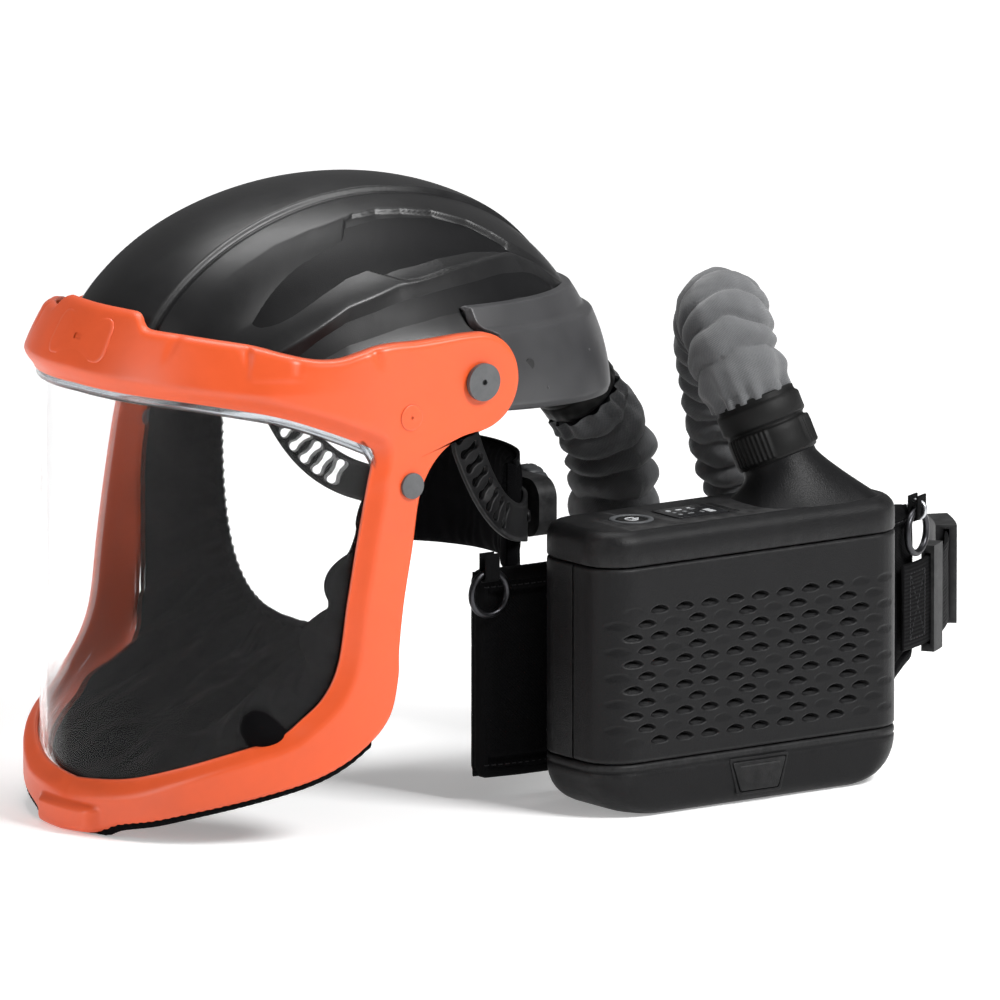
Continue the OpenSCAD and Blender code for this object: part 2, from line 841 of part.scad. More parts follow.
slider_from = 33;
module strap_slider() {
    color("#242528")
    difference() {
        strap_arc(slider_from, slider_from + 5, 7, strap_z - 5, strap_w + 10, strap_r);
        strap_arc(slider_from - 1, slider_from + 6, 3, strap_z - 1, strap_w + 2, strap_r);
    }
}

module buckle() {
    color("#242528")
    difference() {
        strap_arc(56.5, 68, 11, strap_z - 3, strap_w + 6, strap_r);
        strap_arc(56, 62, 3, strap_z - 1, strap_w + 2, strap_r);
        strap_arc(64, 69, 5, strap_z + 5, strap_w - 10, strap_r);
    }
}

// A ring that hangs at the belt's left end
module belt_ring() {
    color("#3a3b3e")
    translate([belt_x + belt_t / 2 + 1, 34, belt_z + belt_h - 10]) rotate([0, 90, 0])
        rotate_extrude() translate([11, 0]) circle(r = 1.8, $fn = 16);
}

// The ring beside the slider, flat against the pad's right end
module strap_ring() {
    color("#3a3b3e")
    translate([belt_mid_x, belt_to_y, belt_z + belt_h - 13]) rotate([0, 0, belt_end - 2.5])
        translate([belt_curve_r + belt_t / 2 + 3, 0, 0]) rotate([0, 90, 0])
            rotate_extrude() translate([11, 0]) circle(r = 1.8, $fn = 16);
}

module belt_rivets() {
    color("#55565a")
    for (z = [22, 90]) translate([belt_x + belt_t / 2, 74, belt_z + z]) along_x(0, 1.6, 4);
}

outer_shell();
crown_ridge();
rear_cover();
air_duct();
brow_trim();
shell_screws();
visor_frame();
lens();
lens_seal();
lens_studs();
hinge_pin_left();
hinge_pin_right();
hinge_washers();
face_seal();
headband();
sweatband();
crown_strap();
cross_strap();
band_rings();
nape_band();
nape_pad();
ratchet_housing();
ratchet_knob();
ratchet_pinion();
hose_port();
hose_cuff();
breathing_hose();
blower_housing();
filter_cover();
prefilter();
filter_cartridge();
filter_gasket();
inlet_plate();
top_cap();
power_button();
button_ring();
indicator_panel();
outlet_neck();
outlet_collar();
fan_scroll();
impeller();
fan_motor();
circuit_board();
battery_case();
battery_cells();
battery_latch();
battery_contacts();
blower_screws();
belt_bracket();
belt_pad();
belt_strap();
strap_slider();
buckle();
belt_ring();
strap_ring();
belt_rivets();
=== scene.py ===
"""Visual model of a powered air respirator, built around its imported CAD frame."""

import math

import bpy
import bmesh
import numpy as np
from mathutils import Matrix, Vector


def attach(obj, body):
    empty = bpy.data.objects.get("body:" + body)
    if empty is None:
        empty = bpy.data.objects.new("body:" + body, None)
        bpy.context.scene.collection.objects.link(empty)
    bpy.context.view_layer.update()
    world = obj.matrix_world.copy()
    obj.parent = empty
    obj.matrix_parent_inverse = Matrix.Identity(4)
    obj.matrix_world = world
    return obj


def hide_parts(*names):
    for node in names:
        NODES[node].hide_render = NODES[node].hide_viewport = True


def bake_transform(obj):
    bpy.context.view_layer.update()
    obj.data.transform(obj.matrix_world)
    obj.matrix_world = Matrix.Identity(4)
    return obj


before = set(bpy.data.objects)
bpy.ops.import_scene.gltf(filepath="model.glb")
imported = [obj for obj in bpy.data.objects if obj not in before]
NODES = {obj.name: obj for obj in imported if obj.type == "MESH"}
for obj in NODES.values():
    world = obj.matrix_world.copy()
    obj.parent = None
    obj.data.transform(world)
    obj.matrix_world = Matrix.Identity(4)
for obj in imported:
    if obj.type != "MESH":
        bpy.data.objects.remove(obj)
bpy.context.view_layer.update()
MM = 0.001
FLOOR = -226.0
bpy.context.scene.view_settings.view_transform = "Standard"

# ---------------------------------------------------------------- camera and lights

AIM = Vector((0.046, 0.063, -0.0785))
AZIMUTH, ELEVATION = math.radians(54), math.radians(11)
LOOK = Vector((-math.sin(AZIMUTH) * math.cos(ELEVATION),
               math.cos(AZIMUTH) * math.cos(ELEVATION), -math.sin(ELEVATION)))
RIGHT = Vector((math.cos(AZIMUTH), math.sin(AZIMUTH), 0))


def aimed(obj, place, target=AIM):
    obj.location = place
    obj.rotation_euler = (Vector(target) - Vector(place)).to_track_quat("-Z", "Y").to_euler()
    bpy.context.scene.collection.objects.link(obj)
    return obj


cam_data = bpy.data.cameras.new("camera")
CAMERA_FAR = 14.0
cam_data.sensor_width, cam_data.lens = 36, 36 * CAMERA_FAR / 0.5025
cam_data.clip_start, cam_data.clip_end = 0.05, 40
camera = aimed(bpy.data.objects.new("camera", cam_data), AIM - LOOK * CAMERA_FAR)
bpy.context.scene.camera = camera


def area_light(name, place, size, power, tint=(1, 1, 1)):
    data = bpy.data.lights.new(name, "AREA")
    data.shape, data.size, data.size_y = "RECTANGLE", size[0], size[1]
    data.energy, data.color = power, tint
    return aimed(bpy.data.objects.new(name, data), place)


area_light("key_right", AIM + RIGHT * 1.15 - LOOK * 0.75 + Vector((0, 0, 1.0)), (0.55, 0.55), 36)
area_light("overhead", AIM + Vector((0, 0, 1.4)) + LOOK * 0.35, (0.9, 0.5), 12)
area_light("left_card", AIM - RIGHT * 1.3 - LOOK * 0.8 + Vector((0, 0, 0.25)), (0.45, 1.2), 8)

world = bpy.data.worlds.new("studio")
world.use_nodes = True
world.node_tree.nodes["Background"].inputs[0].default_value = (1, 1, 1, 1)
# the paper behind is white to the eye, straight or through the lens, and lights the piece less strongly
world_path = world.node_tree.nodes.new("ShaderNodeLightPath")
seen = world.node_tree.nodes.new("ShaderNodeMath")
seen.operation = "MAXIMUM"
strength = world.node_tree.nodes.new("ShaderNodeMapRange")
strength.inputs["To Min"].default_value, strength.inputs["To Max"].default_value = 0.2, 1.0
world.node_tree.links.new(world_path.outputs["Is Camera Ray"], seen.inputs[0])
world.node_tree.links.new(world_path.outputs["Is Transmission Ray"], seen.inputs[1])
world.node_tree.links.new(seen.outputs[0], strength.inputs["Value"])
world.node_tree.links.new(strength.outputs["Result"], world.node_tree.nodes["Background"].inputs[1])
bpy.context.scene.world = world

# ---------------------------------------------------------------- numbers and meshes


def waves(points, size, seed, count=9):
    """Smooth noise from about -1 to 1, with features of about size, from a few fixed plane waves."""
    r = np.random.default_rng(seed)
    d = r.normal(size=(count, 3))
    d /= np.linalg.norm(d, axis=1)[:, None]
    k = 2 * np.pi / size * r.uniform(0.55, 1.35, count)
    p = np.asarray(points, float).reshape(-1, 3) @ (d * k[:, None]).T + r.uniform(0, 6.283, count)
    return (np.sin(p).mean(1) * 1.9).reshape(np.asarray(points).shape[:-1])


def step(x, a, b):
    """0 before a, 1 after b, smooth between; works with a > b too."""
    t = np.clip((np.asarray(x, float) - a) / (b - a), 0, 1)
    return t * t * (3 - 2 * t)


def catmull(points, steps):
    p = np.asarray(points, float)
    out = []
    for i in range(len(p) - 1):
        a, b, c, d = p[max(i - 1, 0)], p[i], p[i + 1], p[min(i + 2, len(p) - 1)]
        for k in range(steps):
            u = k / steps
            out.append(0.5 * (2 * b + (c - a) * u + (2 * a - 5 * b + 4 * c - d) * u * u
                              + (3 * b - 3 * c + d - a) * u ** 3))
    return np.array(out + [p[-1]])


def resample(line, n):
    line = np.asarray(line, float)
    along = np.concatenate([[0], np.cumsum(np.linalg.norm(np.diff(line, axis=0), axis=1))])
    at = np.linspace(0, along[-1], n)
    return np.stack([np.interp(at, along, line[:, k]) for k in range(line.shape[1])], axis=1)


def finish_mesh(name, verts, faces, material, uv=None, smooth=True, tint=None):
    """A mesh object from points in mm. uv is per point, in metres; tint is per point, for the material."""
    mesh = bpy.data.meshes.new(name)
    mesh.from_pydata((np.asarray(verts, float) * MM).tolist(), [], [tuple(int(i) for i in f) for f in faces])
    mesh.polygons.foreach_set("use_smooth", [smooth] * len(mesh.polygons))
    if uv is not None:
        layer = mesh.uv_layers.new(name="UVMap")
        index = np.zeros(len(mesh.loops), np.int32)
        mesh.loops.foreach_get("vertex_index", index)
        layer.data.foreach_set("uv", np.asarray(uv, float).reshape(-1, 2)[index].ravel())
    if tint is not None:
        mesh.attributes.new("tint", "FLOAT", "POINT").data.foreach_set("value",
                np.asarray(tint, np.float32).ravel())
    mesh.validate()
    mesh.materials.append(material)
    obj = bpy.data.objects.new(name, mesh)
    bpy.context.scene.collection.objects.link(obj)
    return obj


def grid(name, rows, material, wrap_cols=False, wrap_rows=False, smooth=True, tint=None, flip=False,
         caps=False):
    """A surface from a rows x cols array of points in mm, with a UV map in metres along both directions."""
    rows = np.asarray(rows, float)
    r, c = rows.shape[:2]
    u = np.concatenate([np.zeros((r, 1)), np.cumsum(np.linalg.norm(np.diff(rows, axis=1), axis=2), axis=1)],
                       axis=1)
    v = np.concatenate([np.zeros((1, c)), np.cumsum(np.linalg.norm(np.diff(rows, axis=0), axis=2), axis=0)],
                       axis=0)
    uv = np.stack([np.broadcast_to(u[r // 2], (r, c)), np.broadcast_to(v[:, c // 2][:, None], (r, c))],
                  axis=2) * MM
    faces = []
    for j in range(r if wrap_rows else r - 1):
        j2 = (j + 1) % r
        for i in range(c if wrap_cols else c - 1):
            i2 = (i + 1) % c
            f = (j * c + i, j * c + i2, j2 * c + i2, j2 * c + i)
            faces.append(f[::-1] if flip else f)
    verts = rows.reshape(-1, 3)
    if caps:
        for j, turn in ((0, not flip), (r - 1, flip)):
            ring = [j * c + i for i in range(c)]
            faces.append(tuple(ring[::-1] if turn else ring))
    return finish_mesh(name, verts, faces, material, uv, smooth, tint)


def modify(obj, kind, **settings):
    m = obj.modifiers.new(kind.lower(), kind)
    for k, v in settings.items():
        setattr(m, k, v)
    return m


def thicken(obj, mm, offset=-1.0):
    return modify(obj, "SOLIDIFY", thickness=mm * MM, offset=offset, use_even_offset=False)


def bake(obj):
    """Applies the modifiers, so that the mesh is final."""
    bpy.context.view_layer.update()
    deps = bpy.context.evaluated_depsgraph_get()
    mesh = bpy.data.meshes.new_from_object(obj.evaluated_get(deps), preserve_all_data_layers=True,
                                           depsgraph=deps)
    obj.modifiers.clear()
    obj.data = mesh
    return obj


def joined(name, objs):
    """Several mesh objects as one, each keeping its material."""
    for o in objs:
        if o.modifiers:
            bake(o)
    bpy.ops.object.select_all(action="DESELECT")
    for o in objs:
        o.select_set(True)
    bpy.context.view_layer.objects.active = objs[0]
    bpy.ops.object.join()
    objs[0].name = name
    return objs[0]


def tube(name, path, radius, material, sides=12, closed=False, squash=(1, 1), side=(0, 0, 1)):
    """A round rod along a path in mm; radius may be a list."""
    path = np.asarray(path, float)
    n = len(path)
    if closed:
        d = np.roll(path, -1, 0) - np.roll(path, 1, 0)
    else:
        d = np.gradient(path, axis=0)
    d /= np.maximum(np.linalg.norm(d, axis=1)[:, None], 1e-9)
    s = np.array(side, float)
    out = []
    rad = np.broadcast_to(np.asarray(radius, float), (n,))
    for i in range(n):
        s = s - (s @ d[i]) * d[i]
        s /= np.linalg.norm(s)
        b = np.cross(d[i], s)
        a = np.linspace(0, 2 * np.pi, sides, endpoint=False)
        out.append(path[i] + rad[i] * (np.cos(a)[:, None] * s * squash[0] + np.sin(a)[:,
                None] * b * squash[1]))
    return grid(name, out, material, wrap_cols=True, wrap_rows=closed, caps=not closed, flip=True)


def lathe(name, profile, origin, axis, material, sides=64, ripple=None):
    """(radius, height) pairs turned round an axis; ripple(angle, k) adds to the radius of profile point k."""
    axis = Vector(axis).normalized()
    turn = np.array(axis.to_track_quat("Z", "Y").to_matrix())
    a = np.linspace(0, 2 * np.pi, sides, endpoint=False)
    rows = []
    for k, (r, h) in enumerate(profile):
        rr = r + (ripple(a, k) if ripple else 0)
        p = np.stack([rr * np.cos(a), rr * np.sin(a), np.full(sides, h)], 1)
        rows.append(p @ turn.T + np.array(origin, float))
    return grid(name, rows, material, wrap_cols=True, flip=False)


def rounded_rect(w, h, r, n=6):
    """Points round a rounded rectangle, counterclockwise, centred."""
    pts = []
    for cx, cy, a0 in ((w / 2 - r, h / 2 - r, 0), (-w / 2 + r, h / 2 - r, 90), (-w / 2 + r, -h / 2 + r, 180),
                       (w / 2 - r, -h / 2 + r, 270)):
        for k in range(n + 1):
            a = math.radians(a0 + 90 * k / n)
            pts.append((cx + r * math.cos(a), cy + r * math.sin(a)))
    return np.array(pts)


# ---------------------------------------------------------------- materials


class Paint:
    """One node material; each method adds a node and gives its output."""

    def __init__(self, name, colour, rough, metal=0.0, **sockets):
        self.m = bpy.data.materials.new(name)
        self.m.use_nodes = True
        self.t = self.m.node_tree
        self.t.nodes.clear()
        out = self.t.nodes.new("ShaderNodeOutputMaterial")
        self.b = self.t.nodes.new("ShaderNodeBsdfPrincipled")
        self.t.links.new(self.b.outputs[0], out.inputs[0])
        self.b.inputs["Base Color"].default_value = (*colour, 1)
        self.b.inputs["Roughness"].default_value = rough
        self.b.inputs["Metallic"].default_value = metal
        for k, v in sockets.items():
            self.b.inputs[k.replace("_", " ")].default_value = v
        self.colour, self.rough = colour, rough

    def node(self, kind, *inputs, **props):
        n = self.t.nodes.new(kind)
        for k, v in props.items():
            setattr(n, k, v)
        for i, v in enumerate(inputs):
            if v is None:
                continue
            if isinstance(v, bpy.types.NodeSocket):
                self.t.links.new(v, n.inputs[i])
            else:
                n.inputs[i].default_value = v
        return n

    def place(self, scale=(1, 1, 1), uv=False, turn=(0, 0, 0)):
        c = self.node("ShaderNodeTexCoord")
        m = self.node("ShaderNodeMapping", c.outputs["UV" if uv else "Object"])
        m.inputs["Scale"].default_value = scale
        m.inputs["Rotation"].default_value = turn
        return m.outputs[0]

    def noise(self, scale, detail=3.0, rough=0.55, at=None):
        n = self.node("ShaderNodeTexNoise")
        self.t.links.new(at if at is not None else self.place(), n.inputs["Vector"])
        n.inputs["Scale"].default_value = scale
        n.inputs["Detail"].default_value = detail
        n.inputs["Roughness"].default_value = rough
        return n.outputs[0]

    def math(self, op, a, b=0.0, c=0.0):
        return self.node("ShaderNodeMath", a, b, c, operation=op).outputs[0]

    def span(self, x, a0, a1, b0=0.0, b1=1.0):
        n = self.node("ShaderNodeMapRange", x, a0, a1, b0, b1)
        n.clamp = True
        return n.outputs[0]

    def mix(self, fac, a, b, blend="MIX"):
        n = self.t.nodes.new("ShaderNodeMix")
        n.data_type, n.blend_type = "RGBA", blend
        for sock, v in ((n.inputs[0], fac), (n.inputs[6], a), (n.inputs[7], b)):
            if isinstance(v, bpy.types.NodeSocket):
                self.t.links.new(v, sock)
            else:
                sock.default_value = v if sock.type == "VALUE" else (*v, 1)
        return n.outputs[2]

    def edges(self, low=0.51, high=0.58):
        return self.span(self.node("ShaderNodeNewGeometry").outputs["Pointiness"], low, high)

    def set(self, socket, value):
        self.t.links.new(value, self.b.inputs[socket])

    def bump(self, height, strength, distance):
        n = self.node("ShaderNodeBump")
        n.inputs["Strength"].default_value = strength
        n.inputs["Distance"].default_value = distance
        self.t.links.new(height, n.inputs["Height"])
        old = self.b.inputs["Normal"]
        if old.is_linked:
            self.t.links.new(old.links[0].from_socket, n.inputs["Normal"])
        self.set("Normal", n.outputs[0])


def shade(c, k):
    return tuple(min(1.0, x * k) for x in c)


def plastic(name, colour, rough, grain=0.25, grain_mm=0.5, edge_highlight=0.35, marks=0.3, vary=0.12, shine=0.16,
            **sockets):
    """Moulded plastic: a fine grain, cloudy colour, a patchy painted highlight on sharp edges and faint
    handling marks.
    """
    p = Paint(name, colour, rough, **sockets)
    if max(colour) < 0.2:
        p.b.inputs["Specular IOR Level"].default_value = shine
    at = p.place()
    cloud = p.noise(38, 3, 0.6, at)
    fine = p.noise(1000 / grain_mm, 2, 0.6, at)
    base = p.mix(p.span(cloud, 0.3, 0.7), shade(colour, 1 - vary), shade(colour, 1 + vary))
    # painted highlight: sharp edges, found by pointiness, are lightened in patches towards a paler copy of
    # the colour
    edge_highlight_mask = p.math("MULTIPLY", p.edges(), p.span(p.noise(160, 4, 0.7, at), 0.35, 0.75, 0.1, edge_highlight))
    light = tuple(c + (1 - c) * (0.10 if max(colour) < 0.2 else 0.22) for c in colour)
    base = p.mix(edge_highlight_mask, base, light)
    p.set("Base Color", base)
    scuff = p.span(p.noise(1, 5, 0.75, p.place((55, 480, 230), turn=(0.5, 0.4, 0.9))), 0.56, 0.72)
    r = p.math("ADD", p.span(cloud, 0.25, 0.75, rough - 0.05, rough + 0.05),
               p.math("MULTIPLY", scuff, marks * 0.25))
    p.set("Roughness", r)
    p.bump(fine, grain, 0.0003)
    return p.m


def woven(name, colour, pitch_mm, rough=0.9, kind="plain", depth=0.35, vary=0.2, sheen=0.3, uv=True,
          crease=0.25):
    """Cloth: threads at their real pitch over soft creases, from the UV map or the object's own place."""
    p = Paint(name, colour, rough)
    p.b.inputs["Sheen Weight"].default_value = sheen
    p.b.inputs["Sheen Roughness"].default_value = 0.5
    p.b.inputs["Specular IOR Level"].default_value = 0.05
    at = p.place(uv=uv)
    sep = p.node("ShaderNodeSeparateXYZ", at)
    x, y = (sep.outputs[0], sep.outputs[1]) if uv else (sep.outputs[1], sep.outputs[2])
    k = 2 * math.pi / (pitch_mm * MM)
    if kind == "twill":
        d = p.math("ADD", x, y)
        a = p.math("SINE", p.math("MULTIPLY", d, k))
        b = p.math("SINE", p.math("MULTIPLY", p.math("SUBTRACT", x, y), k * 0.5))
        weave = p.math("ADD", p.math("MULTIPLY", a, 0.35), p.math("MULTIPLY_ADD", b, 0.15, 0.5))
    elif kind == "rib":
        weave = p.math("MULTIPLY_ADD", p.math("SINE", p.math("MULTIPLY", y, k)), 0.5, 0.5)
    else:
        a = p.math("SINE", p.math("MULTIPLY", x, k))
        b = p.math("SINE", p.math("MULTIPLY", y, k))
        weave = p.math("MULTIPLY_ADD", p.math("MULTIPLY", a, b), 0.5, 0.5)
    own = p.place()
    cloud = p.noise(30, 4, 0.6, own)
    fuzz = p.noise(900, 2, 0.7, own)
    base = p.mix(p.span(cloud, 0.3, 0.7), shade(colour, 1 - vary), shade(colour, 1 + vary))
    base = p.mix(p.math("MULTIPLY", weave, 0.55), shade(colour, 0.45), base)
    base = p.mix(p.math("MULTIPLY", fuzz, 0.25), base, tuple(c * 1.6 + 0.002 for c in colour))
    p.set("Base Color", base)
    p.set("Roughness", p.span(fuzz, 0.3, 0.7, rough - 0.08, min(1, rough + 0.06)))
    p.bump(weave, depth, 0.0003)
    p.bump(p.noise(85, 4, 0.6, own), crease, 0.0012)
    return p.m


def metal(name, colour, rough):
    p = Paint(name, colour, rough, metal=1.0)
    brushed = p.noise(1, 3, 0.6, p.place((300, 300, 3000)))
    p.set("Roughness", p.span(brushed, 0.3, 0.7, rough - 0.08, rough + 0.12))
    p.set("Base Color", p.mix(p.span(p.noise(120), 0.35, 0.65), shade(colour, 0.82), colour))
    p.bump(brushed, 0.08, 0.0002)
    return p.m


SHELL = (0.0065, 0.0065, 0.007)
shell_mat = plastic("shell_satin", SHELL, 0.36, grain=0.22, grain_mm=0.45, edge_highlight=0.25, marks=0.35, shine=0.42)
# painted highlight: the rear cover's base colour is several times lighter than the shell's, standing in for
# the gloss that lights it
cover_mat = plastic("cover_painted_gloss", (0.036, 0.036, 0.038), 0.38, grain=0.25, grain_mm=0.5, edge_highlight=0.3, shine=0.5)
orange_mat = plastic("orange_moulded", (0.69, 0.086, 0.018), 0.38, grain=0.10, grain_mm=0.6, edge_highlight=0.25,
                     marks=0.25, vary=0.05)
black_mat = plastic("black_moulded", (0.0045, 0.0045, 0.005), 0.45, grain=0.3, grain_mm=0.5)
blower_mat = plastic("blower_texture", (0.0055, 0.0055, 0.006), 0.42, grain=0.7, grain_mm=0.7, edge_highlight=0.5,
                     shine=0.15)
grey_mat = plastic("grey_moulded", (0.075, 0.078, 0.082), 0.42, grain=0.2, grain_mm=0.5)
harness_mat = plastic("harness_moulded", (0.005, 0.005, 0.0055), 0.48, grain=0.25, grain_mm=0.5)
rubber_mat = plastic("rubber", (0.004, 0.004, 0.004), 0.52, grain=0.35, grain_mm=0.35, edge_highlight=0.1)
fan_mat = plastic("fan_plastic", (0.03, 0.07, 0.14), 0.4)
hose_mat = woven("hose_sleeve", (0.150, 0.153, 0.158), 1.1, 0.92, "twill", 0.5, 0.18, 0.35)
seal_mat = woven("seal_cloth", (0.0025, 0.0025, 0.003), 0.9, 0.8, "plain", 0.35, 0.3, 0.0)
pad_mat = woven("pad_mesh", (0.005, 0.005, 0.0055), 1.8, 0.9, "plain", 0.7, 0.2, 0.01)
sweat_mat = woven("sweatband_cloth", (0.003, 0.003, 0.0035), 1.3, 0.95, "plain", 0.5, 0.2, 0.0)
binding_mat = woven("binding_tape", (0.004, 0.004, 0.0045), 0.8, 0.75, "rib", 0.5, 0.2, 0.01)
webbing_mat = woven("webbing", (0.0055, 0.0055, 0.006), 2.0, 0.75, "rib", 0.8, 0.15, 0.01)
thread_mat = woven("thread", (0.028, 0.028, 0.030), 0.5, 0.7, "rib", 0.4, 0.2, 0.1)
steel_mat = metal("steel", (0.55, 0.56, 0.58), 0.32)
gold_mat = metal("contact_gold", (0.85, 0.62, 0.25), 0.25)
dark_steel_mat = metal("dark_steel", (0.06, 0.06, 0.065), 0.35)

# ---------------------------------------------------------------- breathing hose

HOSE_ROUTE = [(0, 148, -42), (0, 158, -55), (0, 166, -74), (-2, 169, -100), (-8, 168, -130), (-22, 172, -162),
              (-45, 186, -190), (-70, 208, -203), (-84, 238, -204), (-76, 268, -204), (-48, 285, -200),
              (-16, 284, -184), (8, 272, -158), (20, 254, -128), (25, 236, -96), (25, 224, -64),
              (28, 216, -34), (38, 206, -9), (56, 193, 4), (76, 182, 3), (91, 176, -11), (99, 181, -32)]


def path_frames(line, side):
    """Along, side and up directions at each point of a line, without twist."""
    d = np.gradient(line, axis=0)
    d /= np.linalg.norm(d, axis=1)[:, None]
    s, sides = np.array(side, float), []
    for v in d:
        s = s - (s @ v) * v
        s /= np.linalg.norm(s)
        sides.append(s.copy())
    sides = np.array(sides)
    return d, sides, np.cross(d, sides)


def make_hose():
    """A cloth sleeve pushed together over a corrugated hose: soft uneven lobes with sharp creases between."""
    rings, sides = 720, 72
    line = resample(catmull(HOSE_ROUTE, 24), rings)
    length = np.linalg.norm(np.diff(line, axis=0), axis=1).sum()
    _, right, up = path_frames(line, (1, 0, 0))
    along = np.linspace(0, length, rings)[:, None]
    a = np.linspace(0, 2 * np.pi, sides, endpoint=False)[None, :]
    out = np.cos(a)[..., None] * right[:, None] + np.sin(a)[..., None] * up[:, None]
    near = line[:, None] + 21 * out
    pitch = 11.6 + 3.6 * step(along, 560, 640) + 2.6 * step(along, 190, 60)
    phase = np.cumsum(np.full((rings, 1), length / rings) / pitch, axis=0)
    phase = phase + 0.26 * waves(near, 60, 4) + 0.20 * waves(near, 26, 5)
    lobe = np.abs(np.sin(np.pi * phase)) ** 0.62
    deep = 4.6 + 1.1 * waves(near, 34, 6)
    r = 18.7 + deep * lobe
    r = r + 0.55 * waves(near, 11, 7) * (0.35 + 0.65 * lobe) + 0.22 * waves(near, 4.6, 8)
    pleat = np.cos(13 * a + 1.5 * np.sin(3 * a + 0.7))
    for end in (along, length - along):
        r = r * step(end, 2, 13) + (20.4 + 0.9 * pleat) * (1 - step(end, 2, 13))
        r = r + 0.7 * pleat * step(end, 26, 6)
    rows = line[:, None] + r[..., None] * out
    rows[..., 2] = np.maximum(rows[..., 2], FLOOR + 0.1)
    hose = grid("hose_sleeve", rows, hose_mat, wrap_cols=True, flip=True)
    return hose, line * MM, float(length) * MM


hose, hose_line, hose_length = make_hose()
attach(hose, "respirator")
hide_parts("breathing_hose")

# ---------------------------------------------------------------- headtop shell


SHELL_TOP = 87.0


def rim_z(a):
    return -16 - 13 * np.sin(np.radians(a))


def shell_at(a, t, off):
    """The CAD's dome: a goes round from +X in degrees, t up from the rim, off is outward in mm."""
    a, t, off = np.broadcast_arrays(np.asarray(a, float), np.asarray(t, float), np.asarray(off, float))
    ar, tr = np.radians(a), np.radians(t)
    return np.stack([(104 + off) * np.cos(tr) * np.cos(ar), -10 + (148 + off) * np.cos(tr) * np.sin(ar),
                     rim_z(a) + (SHELL_TOP + off - rim_z(a)) * np.sin(tr)], axis=-1)


# Swept lines on the wearer's left half, as (angle from +X, height angle); the right half mirrors them
CREST_1 = np.array([(-62.7, 26.2), (-54.5, 41.6), (-50.4, 46.1), (-45.2, 51.7), (-34.5, 57.9), (-19.2, 63.1),
                    (-2.1, 65.7), (11.5, 64.6), (26.6, 61.9), (37.9, 55.7), (44.2, 45.6), (53.8, 36.8),
                    (75, 23.8)], float)
VALLEY_1 = np.array([(-62.2, 13.1), (-48.3, 22.9), (-37, 33.6), (-28.1, 42.7), (-21.1, 47.9), (-4.2, 53.8),
                     (9.5, 54.9), (22.7, 53.5), (35.7, 49.7), (43.3, 43.4), (53.2, 35.6), (75, 22.7)], float)
CREST_2 = np.array([(-62, 3.3), (-48, 8.7), (-35.8, 18.3), (-30.2, 22.9), (-21.6, 30.5), (-7.6, 36.9),
                    (1.2, 38.4), (9.7, 40.5), (25.2, 42.2), (40.5, 41.3), (52.7, 34.5), (75, 21.6)], float)
VALLEY_2 = np.array([(-62, 0), (-40, 8.7), (-29, 19.1), (-22, 24.4), (-9.2, 29.4), (2.4, 32.2), (14.1, 33.6),
                     (29.8, 35), (45.8, 33.2), (59.3, 28.4), (75, 20.5)], float)
VENT = np.array([(-19.6, 61.9), (-15.3, 64.1), (-2.2, 65.5), (11.5, 64.5), (26.4, 61.5), (37.6, 55.2),
                 (42.3, 49.8), (44.5, 45), (41.9, 43), (33.6, 42.6), (25.5, 42.4), (9.8, 40.6), (0.4, 38.5),
                 (-4.3, 38), (-7, 38.9), (-12, 41.8), (-19.7, 46.8), (-21.4, 49), (-21.3, 54.3)], float)


def signed_distance(points, polygon):
    """Distance in the plane to a closed polygon, negative inside."""
    p = points.reshape(-1, 2)
    best, inside = np.full(len(p), 1e9), np.zeros(len(p), bool)
    for a, b in zip(polygon, np.roll(polygon, -1, 0)):
        d = b - a
        t = np.clip(((p - a) @ d) / max(d @ d, 1e-9), 0, 1)
        best = np.minimum(best, np.linalg.norm(p - a - t[:, None] * d, axis=1))
        cross = ((a[1] > p[:, 1]) != (b[1] > p[:, 1])) & (
            p[:, 0] < (b[0] - a[0]) * (p[:, 1] - a[1]) / (b[1] - a[1] + 1e-12) + a[0])
        inside ^= cross
    return np.where(inside, -best, best).reshape(points.shape[:-1])


def flat_map(a, t):
    """Shell angles as rough surface millimetres, for distances along the surface."""
    return np.stack([np.asarray(a) * 1.95, np.asarray(t) * 1.85], axis=-1)


